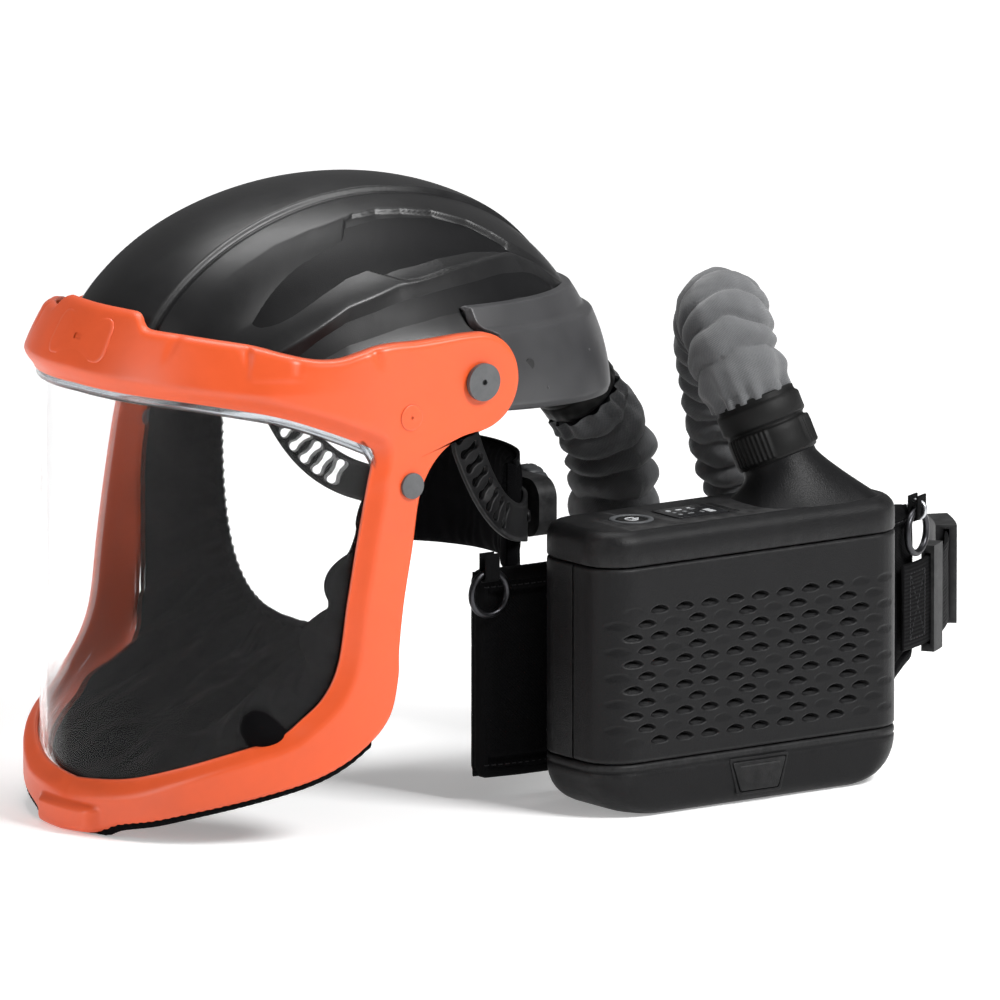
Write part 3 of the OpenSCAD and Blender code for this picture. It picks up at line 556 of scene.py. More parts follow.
def shell_relief(a, t):
    """How far the real shell stands off the plain dome, in mm, and a mask of painted shade along part of the
    vent's edge.
    """
    near = np.abs(((np.asarray(a) + 180) % 360) - 180)        # 0 at +X, 180 at -X
    front = np.sin(np.radians(a)) < 0
    side = np.where(near > 90, 180 - near, near)              # 0 at either side, 90 at front or back
    s = np.where(front, -side, side)
    lines = [np.interp(s, l[:, 0], l[:, 1], left=l[0, 1] - 10) for l in (CREST_1, VALLEY_1, CREST_2,
            VALLEY_2)]
    c1, v1, c2, v2 = lines
    v1, c2, v2 = np.minimum(v1, c1 - 2.5), np.minimum(c2, c1 - 5), np.minimum(v2, c1 - 7.5)
    off = np.zeros_like(t, float)
    deep1 = 5.0 * step(s, -60, -34) * step(s, 60, 34)
    deep2 = 4.4 * step(s, -50, -26) * step(s, 66, 44)
    soft = lambda x: x * x * (3 - 2 * x) * 0.55 + x * 0.45
    down = np.clip((c1 - t) / np.maximum(c1 - v1, 0.5), 0, 1)
    up = np.clip((v1 - t) / np.maximum(v1 - c2, 0.5), 0, 1)
    off -= deep1 * (down ** 0.8) * (1 - soft(up))
    down = np.clip((c2 - t) / np.maximum(c2 - v2, 0.5), 0, 1)
    up = np.clip((v2 - t) / 14.0, 0, 1)
    off -= deep2 * (down ** 0.8) * (1 - soft(up))
    # the raised band over the crown
    p = shell_at(a, t, 0)
    width = 31 - 5.5 * step(p[..., 1], -130, 0) - 8 * step(p[..., 1], 10, 110)
    tall = 2.2 * step(p[..., 1], 118, 70) * (p[..., 2] > 10)
    off += tall * step(np.abs(p[..., 0]), width + 1.0, width - 0.8)
    off -= 0.7 * np.exp(-((np.abs(p[..., 0]) - width - 1.9) / 1.1) ** 2) * step(p[..., 1], 118,
            70) * (p[..., 2] > 10)
    # the teardrop vent, sunk below its rim
    q = np.stack([s, t], axis=-1)
    d = signed_distance(flat_map(q[..., 0], q[..., 1]), flat_map(VENT[:, 0], VENT[:, 1]))
    off -= 1.5 * step(d, 0.2, -1.1)
    # painted shade: a dark line on the front and lower part of the vent's outline, for the shadow in its
    # groove
    seam = np.exp(-(d / 0.75) ** 2) * step(s, 24, 4) * step(t, 59, 52)
    return off, seam


def make_shell():
    cols, rows = 760, 170
    a = np.linspace(0, 360, cols, endpoint=False)
    t = 90 * (np.linspace(0, 1, rows) ** 0.95) * 0.9995
    A, T = np.meshgrid(a, t)
    off, seam = shell_relief(A, T)
    off = off * step(T, 0, 3)
    p = shell_at(A, T, off)
    inner = shell_at(A[:3][::-1], T[:3][::-1], -3.0)
    p = np.concatenate([inner, p])
    seam = np.concatenate([np.zeros_like(inner[..., 0]), seam])
    # the vent's painted shade line goes to the material as tint
    return grid("shell_outer", p, shell_mat, wrap_cols=True, tint=seam)


def shell_paint():
    """The shell's own plastic, with painted shade drawn in as a dark line along part of the vent's edge."""
    p = shell_mat.node_tree
    bsdf = next(n for n in p.nodes if n.type == "BSDF_PRINCIPLED")
    old = bsdf.inputs["Base Color"].links[0].from_socket
    mix = p.nodes.new("ShaderNodeMix")
    mix.data_type = "RGBA"
    att = p.nodes.new("ShaderNodeAttribute")
    att.attribute_name = "tint"
    p.links.new(att.outputs["Fac"], mix.inputs[0])
    p.links.new(old, mix.inputs[6])
    # near black: the painted shade along the vent's edge
    mix.inputs[7].default_value = (0.001, 0.001, 0.001, 1)
    p.links.new(mix.outputs[2], bsdf.inputs["Base Color"])


shell_paint()
shell = make_shell()
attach(shell, "respirator")
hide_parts("outer_shell", "crown_ridge")

# the inner side of the shell, seen from below
cols = np.linspace(0, 360, 160, endpoint=False)
inner_rows = [shell_at(cols, np.full(160, t), -3.0) for t in np.linspace(1.0, 89.9, 40)]
lining = grid("shell_inside", inner_rows, black_mat, wrap_cols=True, flip=True)
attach(lining, "respirator")

# ---------------------------------------------------------------- rear cover


COVER_STRETCH = 1.085


def cover_off(a, t):
    """The cover's outside: a main face, a chamfer near its top and a lip, from its rim up."""
    body = 7.4 - 0.045 * t
    top = step(t, 18.4, 20.6)
    off = body * (1 - top) + (body - 3.1) * top
    off = off - 3.2 * step(t, 25.6, 27.0)
    off = off - 1.2 * step(t, 1.6, 0.0)
    ends = step(np.minimum(np.asarray(a) - 8, 172 - np.asarray(a)), 0, 0.9)
    return 0.9 + (off - 0.9) * (0.35 + 0.65 * ends)


def cover_start(t):
    """Where the cover's front edge is at height t: behind the hollow that the visor arm turns in."""
    a = np.linspace(8, 40, 321)
    p = shell_at(a, np.full_like(a, t * COVER_STRETCH), 6.5)
    clear = np.hypot(p[:, 1], p[:, 2]) >= 27.4
    return a[np.argmax(clear)]


def make_cover():
    ts = np.unique(np.concatenate([np.linspace(0, 2, 5), np.linspace(2, 18, 22), np.linspace(18, 21, 9),
                                   np.linspace(21, 25.4, 8), np.linspace(25.4, 27, 7)]))
    n = 260
    u = np.linspace(0, 1, n)
    u = 0.5 - 0.5 * np.cos(np.pi * u) * (1 - 0.25 * np.sin(np.pi * u))
    front = np.array([cover_start(t) for t in ts])
    k = np.ones(5) / 5
    front = np.convolve(np.pad(front, 2, mode="edge"), k, "valid")
    rows = []
    for t, a0 in zip(ts, front):
        a = a0 + (180 - 2 * a0) * u
        away = np.minimum(a - a0, 180 - a0 - a)
        off = cover_off(90 + (a - 90) * 82 / (90 - a0), np.full(n, t))
        off = off - 2.4 * step(away, 0.9, 0.0)
        rows.append(shell_at(a, np.full(n, t * COVER_STRETCH), off))
    under = shell_at(np.linspace(front[0], 180 - front[0], n), np.zeros(n), 0.7)
    obj = grid("rear_cover_shell", [under] + rows, cover_mat)
    thicken(obj, 1.6)
    return obj


rear = make_cover()
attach(rear, "respirator")
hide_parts("rear_cover")


def small_mark(name, a, t, off, r, material):
    """A tiny round moulded pip on the cover."""
    c = shell_at(a, t, off)
    n = shell_at(a, t, off + 1) - c
    return lathe(name, [(0.01, 0.45), (r * 0.7, 0.4), (r, 0.1), (r, -0.5)], c, n, material, 16)


pips = joined("cover_pips", [small_mark("pip_a", 24, 5, 7.2, 0.9, cover_mat),
                             small_mark("pip_b", 44, 12, 6.9, 0.8, cover_mat)])
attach(pips, "respirator")

# ---------------------------------------------------------------- visor frame

R_WALL = 117.0
ARC = R_WALL * math.pi / 2


def to_s(y):
    """Arc length from the visor's middle to where the wall is at y."""
    return R_WALL * math.acos(max(-1, min(1, (-55 - y) / R_WALL))) if y < -55 else ARC + (y + 55)


def wall(s, z, off):
    """A point on the visor's wall, for s to the wearer's left, with the brow leaning in towards the dome."""
    s, z, off = np.broadcast_arrays(np.asarray(s, float), np.asarray(z, float), np.asarray(off, float))
    th = np.minimum(s / R_WALL, np.pi / 2)
    lean = 17.5 * np.clip((z - 3) / 35.5, 0, 1.1) ** 1.25 * step(th, math.radians(86), math.radians(48))
    r = R_WALL + off - lean
    return np.stack([r * np.sin(th), -55 - r * np.cos(th) + np.maximum(s - ARC, 0), z], axis=-1)


def th(deg):
    return R_WALL * math.radians(deg)


lobe = [(ARC + 55 + 24.3 * math.cos(math.radians(p)), 24.3 * math.sin(math.radians(p))) for p in range(92,
        -96, -8)]
OUTER = ([(th(d), z) for d, z in ((0, 38.8), (6, 38.8), (12, 38.7), (17.2, 38.3), (19.2, 36.6), (20.6, 33.6),
                                  (22.2, 31.4), (25, 30.6), (36, 29.4), (52.6, 26.2), (61.9, 22.3),
                                  (68.4, 19.6),
                                  (73, 18.7), (77.4, 19.2), (82, 21.4), (87.3, 23.6))]
         + [(to_s(y), z) for y, z in ((-50, 24.2), (-38, 23.8), (-24, 24.0), (-10, 24.5))] + lobe
         + [(to_s(y), z) for y, z in ((-12, -26.5), (-24, -34), (-32, -44), (-37, -56), (-41, -80),
                                      (-46, -106),
                                      (-49, -130), (-49.5, -144), (-53, -160), (-58.5, -169), (-66.8, -176.6),
                                      (-80.3, -185.7), (-98, -193.8), (-123.8, -202.2), (-145.9, -210.2),
                                      (-158, -216))]
         + [(th(18.4), -220), (th(12), -224.5), (0, -226)])
INNER = ([(0, 0.2), (th(20), -1.0)]
         + [(to_s(y), z) for y, z in ((-150, -2.4), (-130, -5.5), (-110, -10), (-86, -18.5), (-66, -26.8),
                                      (-62.4, -29.5), (-62.3, -34))]
         + [(th(d), z) for d, z in ((84.5, -50), (81.5, -79), (79, -105.7), (76.5, -135.3), (72.5, -151.7),
                                    (66, -163.5),
                                    (60, -171.8), (46.2, -180.8), (31.9, -189.7), (18, -196.8))] + [(0,
                                            -200.6)])


def nearest_share(line, point):
    """How far along a line, in mm, the point nearest to it is."""
    fine = resample(line, 4000)
    i = np.linalg.norm(fine - np.array(point), axis=1).argmin()
    along = np.concatenate([[0], np.cumsum(np.linalg.norm(np.diff(fine, axis=0), axis=1))])
    return along[i], along[-1]


PAIRS = [((0, 0.2), (0, 38.8)), ((to_s(-110), -10), (th(61.9), 22.3)),
         ((to_s(-66), -26.8), (to_s(-48), 24.2)), ((to_s(-62.3), -34), (ARC + 55 + 24.3, 0)),
         ((th(84.5), -50), (to_s(-34), -48)), ((th(81.5), -79), (to_s(-41), -80)),
         ((th(77.5), -124), (to_s(-49), -130)), ((th(72.5), -151.7), (to_s(-55), -164)),
         ((th(60), -171.8), (to_s(-84), -188)), ((th(40), -185), (to_s(-124), -202)),
         ((0, -200.6), (0, -226))]


def smooth_line(points, n):
    return resample(catmull(points, 10), n)


def visor_grid():
    n = 420
    inner, outer = smooth_line(INNER, 3000), smooth_line(OUTER, 3000)
    total_i, total_o = nearest_share(inner, inner[0])[1], nearest_share(outer, outer[0])[1]
    ki = [nearest_share(inner, a)[0] / total_i for a, _ in PAIRS]
    ko = [nearest_share(outer, b)[0] / total_o for _, b in PAIRS]
    ki[0], ko[0], ki[-1], ko[-1] = 0, 0, 1, 1
    w = np.linspace(0, 1, n)
    base = np.linspace(0, 1, len(PAIRS))
    mean = (np.array(ki) + 2 * np.array(ko)) / 3
    at = np.interp(w, mean, base)
    fi, fo = np.interp(at, base, ki), np.interp(at, base, ko)
    g = np.linspace(0, 1, 3000)
    I = np.stack([np.interp(fi, g, inner[:, k]) for k in (0, 1)], 1)
    O = np.stack([np.interp(fo, g, outer[:, k]) for k in (0, 1)], 1)
    return I, O


def frame_relief(s, z, e_in, e_out):
    """The frame's outside: a deep bevel to the window, a rounded edge, the brow's facets and the chin lip."""
    off = -6.2 * (1 - step(e_in, -1.0, 9.5)) ** 0.9
    x = np.clip(3.2 - e_out, 0, 3.2)
    off = off - (3.2 - np.sqrt(np.maximum(3.2 ** 2 - x ** 2, 0)))
    deg = np.degrees(s / R_WALL)
    for d0, d1, top, deep in ((32.5, 30.0, 28, 0.9), (52.4, 52.8, 27, 1.6), (66, 64.8, 21, 1.1),
                              (85, 88, 24, 1.6)):
        drop = np.clip((top - z) / 14, 0, 1)
        mid = d0 + (d1 - d0) * drop
        off = off - deep * np.exp(-((deg - mid) / (0.55 + 1.1 * (1 - drop))) ** 2) * step(drop, 1.0,
                0.2) * (z > top - 15)
    off = off + 0.9 * step(deg, 52, 54) * step(z, 8, 12) * step(deg, 68, 65)
    lip = step(s, 27, 18) * step(z, -210.5, -214.5)
    off = off + 4.6 * lip
    off = off + 1.1 * step(s, 60, 20) * np.exp(-((z + 204) / 3.0) ** 2)
    return off


def make_visor_frame():
    I, O = visor_grid()
    gap = np.linalg.norm(O - I, axis=1)
    near_in = [0, 0.5, 1.6, 3.2, 5.0, 6.8, 8.4, 10.0]
    near_out = [7.0, 5.0, 3.4, 2.4, 1.5, 0.8, 0.3, 0.0]
    rows = [e / gap for e in near_in]
    low, high = near_in[-1] / gap, 1 - near_out[0] / gap
    for k in range(1, 12):
        rows.append(low + (high - low) * k / 12)
    for e in near_out:
        rows.append(1 - e / gap)
    front = []
    for f in rows:
        sz = I + (O - I) * f[:, None]
        front.append(wall(sz[:, 0], sz[:, 1], frame_relief(sz[:, 0], sz[:, 1], f * gap, (1 - f) * gap)))
    back = []
    for f in np.linspace(1, 0, 10):
        sz = I + (O - I) * f
        thin = -7.7 + 4.0 * np.clip((sz[:, 1] - 8) / 30, 0, 1) * step(sz[:, 0], th(80), th(50))
        back.append(wall(sz[:, 0], sz[:, 1], thin))
    half = np.array(front + back)
    other = half[:, -2:0:-1] * np.array([-1, 1, 1])
    return grid("visor_frame_moulding", np.concatenate([half, other], axis=1), orange_mat, wrap_cols=True,
                wrap_rows=True)


visor_frame = make_visor_frame()
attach(visor_frame, "visor")
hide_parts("visor_frame")


def raised_patch(name, outline, centre_sz, tall, material, rings=7):
    """A slightly raised plate that follows the visor's wall, with a narrow bevelled edge."""
    outline = np.asarray(outline, float)
    rows = []
    steps = [(1.0, -0.4), (1.0, tall * 0.5), (0.975, tall)] + [(0.9 - 0.9 * j / rings,
                                                                tall) for j in range(rings)]
    for f, h in steps:
        p = outline * max(f, 0.003) + np.array(centre_sz)
        s, z = p[:, 0], p[:, 1]
        flip = np.where(s < 0, -1.0, 1.0)
        q = wall(np.abs(s), z, h) * np.stack([flip, np.ones_like(flip), np.ones_like(flip)], -1)
        rows.append(q)
    return grid(name, rows, material, wrap_cols=True)


brow_plate = raised_patch("brow_plate", rounded_rect(50, 21, 6, 10), (0, 23.5), 0.55, orange_mat)
side_boss = []
for m in (1, -1):
    a = np.linspace(0, 2 * np.pi, 40, endpoint=False)
    circle = np.stack([6.6 * np.cos(a), 6.6 * np.sin(a)], 1)
    b = raised_patch("side_boss", circle, (to_s(-43), -13.5), 0.6, orange_mat)
    if m < 0:
        b.data.transform(Matrix.Scale(-1, 4, (1, 0, 0)))
        b.data.flip_normals()
    side_boss.append(b)
details = joined("frame_embosses", [brow_plate] + side_boss)
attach(details, "visor")

# ---------------------------------------------------------------- lens

LENS_OUT, LENS_IN = 108.7, 107.1
LENS_TOP = np.array([(-180, 7), (-150, 4), (-108, -4), (-56, -22)], float)
LENS_LOW = np.array([(-180, -208), (-150, -203), (-113, -186), (-84, -165), (-67, -120), (-59, -82),
                     (-56, -22)], float)


def bent(s, z, r):
    """A point on a cylinder of radius r about the visor's upright axis, s along the arc at R_WALL."""
    a = np.asarray(s, float) / R_WALL
    a, z, r = np.broadcast_arrays(a, np.asarray(z, float), np.asarray(r, float))
    return np.stack([r * np.sin(a), -55 - r * np.cos(a), z], axis=-1)


def glass(name, colour, alpha, rough, bend=1.45, **sockets):
    p = Paint(name, colour, rough, Transmission_Weight=1.0, Alpha=alpha, IOR=bend, **sockets)
    smear = p.span(p.noise(9, 4, 0.6, p.place((1, 1, 0.35))), 0.5, 0.8, rough, rough + 0.03)
    p.set("Roughness", smear)
    if alpha < 0.5:
        # painted reflection: towards grazing angles the lens's colour turns grey as well as less clear, for
        # the grey rim a real lens shows at its edge
        rim = p.node("ShaderNodeLayerWeight", 0.5)
        p.set("Alpha", p.span(rim.outputs["Facing"], 0.5, 1.0, alpha, 0.85))
        p.set("Base Color", p.mix(p.span(rim.outputs["Facing"], 0.6, 1.0), colour, (0.66, 0.69, 0.71)))
    return p.m


lens_mat = glass("lens_clear", (0.985, 0.99, 0.99), 0.15, 0.01, bend=1.02, Coat_Weight=1.0,
                 Coat_Roughness=0.02)
lens_edge_mat = glass("lens_edge", (0.50, 0.53, 0.57), 0.80, 0.12)


def make_lens():
    edge = ARC * 0.9995
    s = np.concatenate([-np.linspace(edge, 0, 150)[:-1], np.linspace(0, edge, 150)])
    y = bent(np.abs(s), 0, LENS_OUT)[..., 1]
    top = np.interp(y, LENS_TOP[:, 0], LENS_TOP[:, 1])
    low = np.interp(y, LENS_LOW[:, 0], LENS_LOW[:, 1])
    thin = step(np.abs(s), edge, edge - 1.5) * 0.8
    rows = []
    for f in np.linspace(0, 1, 60):
        rows.append(bent(s, low + (top - low) * f, 107.9 + thin))
    for f in np.linspace(1, 0, 60):
        rows.append(bent(s, low + (top - low) * f, 107.9 - thin))
    return grid("lens_sheet", rows, lens_mat, wrap_rows=True)


lens = make_lens()
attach(lens, "visor")
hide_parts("lens")

EDGE_LINE = [(0, 0.2), (th(20), -1.0)] + [(to_s(y), z) for y, z in
                                         ((-150, -2.4), (-130, -5.5), (-110, -10), (-86, -18.5),
                                          (-66, -26.8))]


def ribbon(name, line, profile, material):
    """A rim that follows a line of (s, z) on the visor; the profile is (down, out from the lens) pairs."""
    half = resample(catmull(line, 10), 150)
    rows = []
    for down, out in profile:
        p = bent(half[:, 0], half[:, 1] - down, LENS_OUT + out)
        rows.append(np.concatenate([p, p[-2:0:-1] * (-1, 1, 1)]) if line[-1][0] < 1 else p)
    return grid(name, rows, material, wrap_rows=True)


def edge_profile(low, out):
    return [(-1.5, -2.6), (low - 0.8, -2.6), (low, -2.0), (low + 0.1, out - 0.7), (low - 0.6, out),
            (low - 1.6, out + 0.1), (low - 2.4, out - 0.25), (-1.5, out - 0.25)]


def both_sides_of(name, make):
    """A piece and its mirror image in the middle plane, as one object."""
    a, b = make(), make()
    b.data.transform(Matrix.Scale(-1, 4, (1, 0, 0)))
    b.data.flip_normals()
    return joined(name, [a, b])


lens_edge = both_sides_of("lens_edge_rim", lambda: ribbon("lens_edge_half", EDGE_LINE,
                                                          edge_profile(4.6, 1.2), lens_edge_mat))
end_clip = both_sides_of("lens_end_clips", lambda: ribbon(
    "clip_half", [(to_s(-70.5), -21.5), (to_s(-66.5), -26.0), (to_s(-62.6), -31.5), (to_s(-60.6), -36.0)],
    [(-0.2, -2.4), (4.0, -2.4), (4.3, -1.8), (4.3, 2.6), (3.9, 3.2), (2.2, 2.6), (0.2, 3.2), (-0.2, 2.6)],
    lens_edge_mat))
clears = joined("lens_edging", [lens_edge, end_clip])
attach(clears, "visor")
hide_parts("lens_seal")

# ---------------------------------------------------------------- face seal


def seal_rim(s):
    """The seal's edge on the visor, s from -1 to 1 across."""
    p, side, r = np.abs(s), np.sign(s), LENS_IN - 3
    a = np.radians(90 * np.minimum(p, 0.55) / 0.55)
    up = p > 0.55
    x = np.where(up, r + 5 * step(p, 0.55, 0.62), r * np.sin(a)) * side
    y = np.where(up, -58 + 10 * step(p, 0.55, 0.62) + 5 * step(p, 0.85, 1.0),
                 -55 - 3 * np.sin(a) ** 6 - r * np.cos(a))
    z = np.where(up, -166 + (p - 0.55) / 0.45 * 136, -203 + 37 * (np.minimum(p, 0.55) / 0.55) ** 2)
    return np.stack([x, y, z], axis=-1)


def seal_edge(s):
    """The elastic edge round the wearer's chin and cheeks."""
    a = np.radians(90 * s)
    wide, low = np.abs(np.sin(a)) ** 0.64, np.abs(np.cos(a)) ** 0.64
    return np.stack([79 * wide * np.sign(s), -31 + 9 * wide, -38 - 101 * low], axis=-1)


def seal_bulge(s, u):
    """How far the cloth stands forward between its two edges, most at the jaw."""
    p = np.abs(s)
    side = 0.2 + 0.8 * step(s, -0.15, 0.25)
    along = 1 - (np.maximum(p - 0.5, 0) / 0.55) ** 2
    return 54 * side * along * step(p, 0.08, 0.42) * np.sin(np.pi * u ** 0.9)


def make_seal():
    """Cloth gathered from the visor's rim to the elastic: long soft folds that turn to fine gathers."""
    cols, rows = 620, 110
    s = np.linspace(-1, 1, cols)
    a, b = seal_rim(s), seal_edge(s)
    around = np.concatenate([[0], np.cumsum(np.linalg.norm(np.diff(b, axis=0), axis=1))])
    grid_rows = []
    for u in np.linspace(0, 1, rows):
        p = a * (1 - u) + b * u + np.array([0, 0, -16 * u * (1 - u)])
        p[:, 1] -= seal_bulge(s, u)
        grid_rows.append(p)
    p = np.array(grid_rows)
    du, ds = np.gradient(p, axis=0), np.gradient(p, axis=1)
    n = np.cross(ds, du)
    n /= np.maximum(np.linalg.norm(n, axis=2)[..., None], 1e-9)
    u = np.linspace(0, 1, rows)[:, None]
    S = s[None, :] + 0 * u
    mid = step(u, 0.0, 0.22) * step(u, 1.0, 0.8)
    sway = 0.10 * waves(p, 150, 21)
    long_fold = np.sin(2 * np.pi * (S * 5.2 + sway * 4 + 0.35 * (1 - u))) + 0.6 * np.sin(2 * np.pi
            * (S * 9.3 - sway * 3))
    sharp = np.sign(long_fold) * np.abs(long_fold) ** 0.7
    off = 3.4 * sharp * mid
    off = off + 1.6 * waves(p, 34, 22) * mid
    gather = np.sin(2 * np.pi * (around[None, :] / 7.5 + 0.6 * waves(p, 30, 23)))
    off = off + 1.5 * gather * np.exp(-((1 - u) / 0.16) ** 2)
    off = off + 0.55 * waves(p, 9, 24) * (0.3 + 0.7 * step(u, 0.3, 0.9))
    seal = grid("face_seal_cloth", p + n * off[..., None], seal_mat, tint=u + 0 * S)
    thicken(seal, 0.9, 0.0)
    hem_line = resample(p[-1] + np.array([0, 0, 0.6]), 420)
    gathered = 2.5 + 0.35 * np.sin(np.arange(420) * 0.93) + 0.2 * np.sin(np.arange(420) * 2.1)
    hem = tube("seal_hem", hem_line, gathered, seal_mat, 12)
    return joined("face_seal_cloth", [seal, hem])


seal = make_seal()
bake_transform(seal)
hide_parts("face_seal")

# a black cloth binding under the frame's lower edge
LOWER = [(0, -226), (th(12), -224.5), (th(18.4), -220)] + [(to_s(y), z) for y, z in
                                                           ((-158, -216), (-145.9, -210.2), (-123.8, -202.2),
                                                            (-98, -193.8),
                                                            (-80.3, -185.7), (-66.8, -176.6))]


def under_rim():
    half = resample(catmull(LOWER, 10), 160)
    rows = []
    for down, out in ((-4, -6.5), (1.6, -6.2), (2.6, -4.6), (2.2, -2.2), (0.6, -1.0), (-4, -1.0)):
        rows.append(wall(half[:, 0], np.maximum(half[:, 1] - down, FLOOR + 0.15),
                         out + 0.25 * np.sin(half[:, 0] * 1.4)))
    return grid("under_rim_half", rows, seal_mat, wrap_rows=True)


rim_cloth = both_sides_of("visor_rim_binding", under_rim)
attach(rim_cloth, "visor")

# ---------------------------------------------------------------- flat parts that bend


def flat_shape(name, outline, holes, thick, bevel, material, place, cut=None):
    """A plate with rounded edges and holes, from outlines in mm, then bent into place by a function."""
    c = bpy.data.curves.new(name, "CURVE")
    c.dimensions, c.fill_mode = "2D", "BOTH"
    c.extrude, c.offset = thick * MM / 2 - bevel * MM, -bevel * MM
    c.bevel_depth, c.bevel_resolution = bevel * MM, 2
    for loop in [outline] + list(holes):
        sp = c.splines.new("POLY")
        sp.points.add(len(loop) - 1)
        for p, q in zip(sp.points, loop):
            p.co = (q[0] * MM, q[1] * MM, 0, 1)
        sp.use_cyclic_u = True
    tmp = bpy.data.objects.new(name, c)
    bpy.context.scene.collection.objects.link(tmp)
    deps = bpy.context.evaluated_depsgraph_get()
    mesh = bpy.data.meshes.new_from_object(tmp.evaluated_get(deps), depsgraph=deps)
    bpy.data.objects.remove(tmp)
    bm = bmesh.new()
    bm.from_mesh(mesh)
    bmesh.ops.remove_doubles(bm, verts=bm.verts, dist=1e-6)
    if cut:
        xs = [v.co.x for v in bm.verts]
        for x in np.arange(min(xs) + cut * MM, max(xs), cut * MM):
            geom = bm.verts[:] + bm.edges[:] + bm.faces[:]
            bmesh.ops.bisect_plane(bm, geom=geom, plane_co=(x, 0, 0), plane_no=(1, 0, 0))
    bmesh.ops.recalc_face_normals(bm, faces=bm.faces)
    bm.to_mesh(mesh)
    bm.free()
    co = np.zeros(len(mesh.vertices) * 3)
    mesh.vertices.foreach_get("co", co)
    moved = place(co.reshape(-1, 3) / MM) * MM
    mesh.vertices.foreach_set("co", moved.ravel())
    mesh.materials.clear()
    mesh.materials.append(material)
    obj = bpy.data.objects.new(name, mesh)
    bpy.context.scene.collection.objects.link(obj)
    mesh.polygons.foreach_set("use_smooth", [True] * len(mesh.polygons))
    mesh.set_sharp_from_angle(angle=math.radians(32))
    return obj


def pill(x, y, half, r, turn=90.0, n=8, waist=0.0):
    """A slot with round ends; a waist makes it a dog-bone."""
    pts = []
    for k in range(n + 1):
        a = math.radians(-90 + 180 * k / n)
        pts.append((half + r * math.cos(a), r * math.sin(a)))
    if waist:
        pts += [(half * 0.35, r - waist), (-half * 0.35, r - waist)]
    for k in range(n + 1):
        a = math.radians(90 + 180 * k / n)
        pts.append((-half + r * math.cos(a), r * math.sin(a)))
    if waist:
        pts += [(-half * 0.35, -r + waist), (half * 0.35, -r + waist)]
    c, s = math.cos(math.radians(turn)), math.sin(math.radians(turn))
    return [(x + p * c - q * s, y + p * s + q * c) for p, q in pts]


# ---------------------------------------------------------------- nape cradle

NAPE_OFF, RATCHET_Z = 7, -90


def band_at(a, off, z):
    ar = np.radians(a)
    return np.stack([(78 + off) * np.cos(ar), -8 + (96 + off) * np.sin(ar), z + 0 * ar], axis=-1)


NAPE_A = np.linspace(8, 172, 821)
NAPE_Z = RATCHET_Z + 76 * (np.abs(NAPE_A - 90) / 82) ** 6
_flat = band_at(NAPE_A, NAPE_OFF, 0)
NAPE_ARC = np.concatenate([[0], np.cumsum(np.linalg.norm(np.diff(_flat, axis=0), axis=1))])
NAPE_S = np.concatenate([[0], np.cumsum(np.hypot(np.diff(NAPE_ARC), np.diff(NAPE_Z)))])
_du, _dz = np.gradient(NAPE_ARC, NAPE_S), np.gradient(NAPE_Z, NAPE_S)


def on_nape(p):
    """From (along, across, out) on the flat strap to its place round the nape."""
    s, w, out = p[:, 0], p[:, 1], p[:, 2]
    arc = np.interp(s, NAPE_S, NAPE_ARC) - w * np.interp(s, NAPE_S, _dz)
    z = np.interp(s, NAPE_S, NAPE_Z) + w * np.interp(s, NAPE_S, _du)
    return band_at(np.interp(arc, NAPE_ARC, NAPE_A), NAPE_OFF + out, z)


def make_nape_band():
    total = NAPE_S[-1]
    half = 9.6
    edge = [(s, -half - 3.0 * float(step(abs(s - total / 2), 70, 40))) for s in np.linspace(2, total - 2, 90)]
    outline = edge + [(x, -y) for x, y in edge[::-1]]
    holes = []
    for k in range(9):
        for s in (13 + 8.4 * k, total - 13 - 8.4 * k):
            holes.append(pill(s, 0, 4.6, 2.3, 90, 8, 1.0))
    for s in (total / 2 - 47, total / 2 - 39, total / 2 + 39, total / 2 + 47):
        holes.append(pill(s, 0, 5.5, 2.0, 0, 6))
    return flat_shape("nape_ladder_strap", outline, holes, 2.6, 0.7, harness_mat, on_nape, 5.0)


def pillow(name, place, cols, rows, thick, material, profile, seams=(), rough=0.6, seed=3, lumps=16.0):
    """A closed padded strip: place(u, v) gives points and normals in mm; profile(u, v) is 0 to 1 of thick."""
    u, v = np.meshgrid(np.linspace(0, 1, cols), np.linspace(0, 1, rows))
    p, n = place(u, v)
    t = thick / 2 * profile(u, v)
    for seam, axis, wide, deep in seams:
        d = (u if axis == "u" else v) - seam
        t = t * (1 - deep * np.exp(-(d / wide) ** 2))
    bumpy = rough * waves(p, lumps, seed) * np.minimum(1, t / (thick * 0.25))
    front = p + n * (t + bumpy)[..., None]
    back = p - n * (t - 0.5 * bumpy)[..., None]
    return grid(name, np.concatenate([front, back[::-1]]), material, wrap_rows=True, caps=False)


def round_edge(u, v, w, h, r):
    """The thickness profile of a pad that is w by h mm with edges rounded over r mm."""
    e = np.minimum(np.minimum(u, 1 - u) * w, np.minimum(v, 1 - v) * h)
    x = np.clip(1 - e / r, 0, 1)
    return np.maximum(np.sqrt(1 - x ** 2), 0.06)


def nape_place(u, v):
    a = 46 + 88 * u
    z = -114 + 56 * v
    p = band_at(a, 0.25, z)
    n = band_at(a, 1.25, z) - p
    return p, n / np.linalg.norm(n, axis=-1)[..., None]


def nape_profile(u, v):
    tuck = 0.5 + 0.5 * np.sin(u * 95 + 2.2 * np.sin(v * 5 + u * 20))
    pull = step(v, 0.0, 0.3) * step(v, 1.0, 0.7)
    return round_edge(u, v, 150, 56, 8) * (0.93 - 0.16 * tuck * (1 - 0.6 * pull))


nape_band = make_nape_band()
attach(nape_band, "nape_cradle")
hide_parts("nape_band")
nape_cushion = pillow("nape_cushion", nape_place, 380, 60, 10.4, sweat_mat, nape_profile,
                      [(0.14, "u", 0.010, 0.6), (0.86, "u", 0.010, 0.6)], 0.9, 31, 18)
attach(nape_cushion, "nape_cradle")
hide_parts("nape_pad")


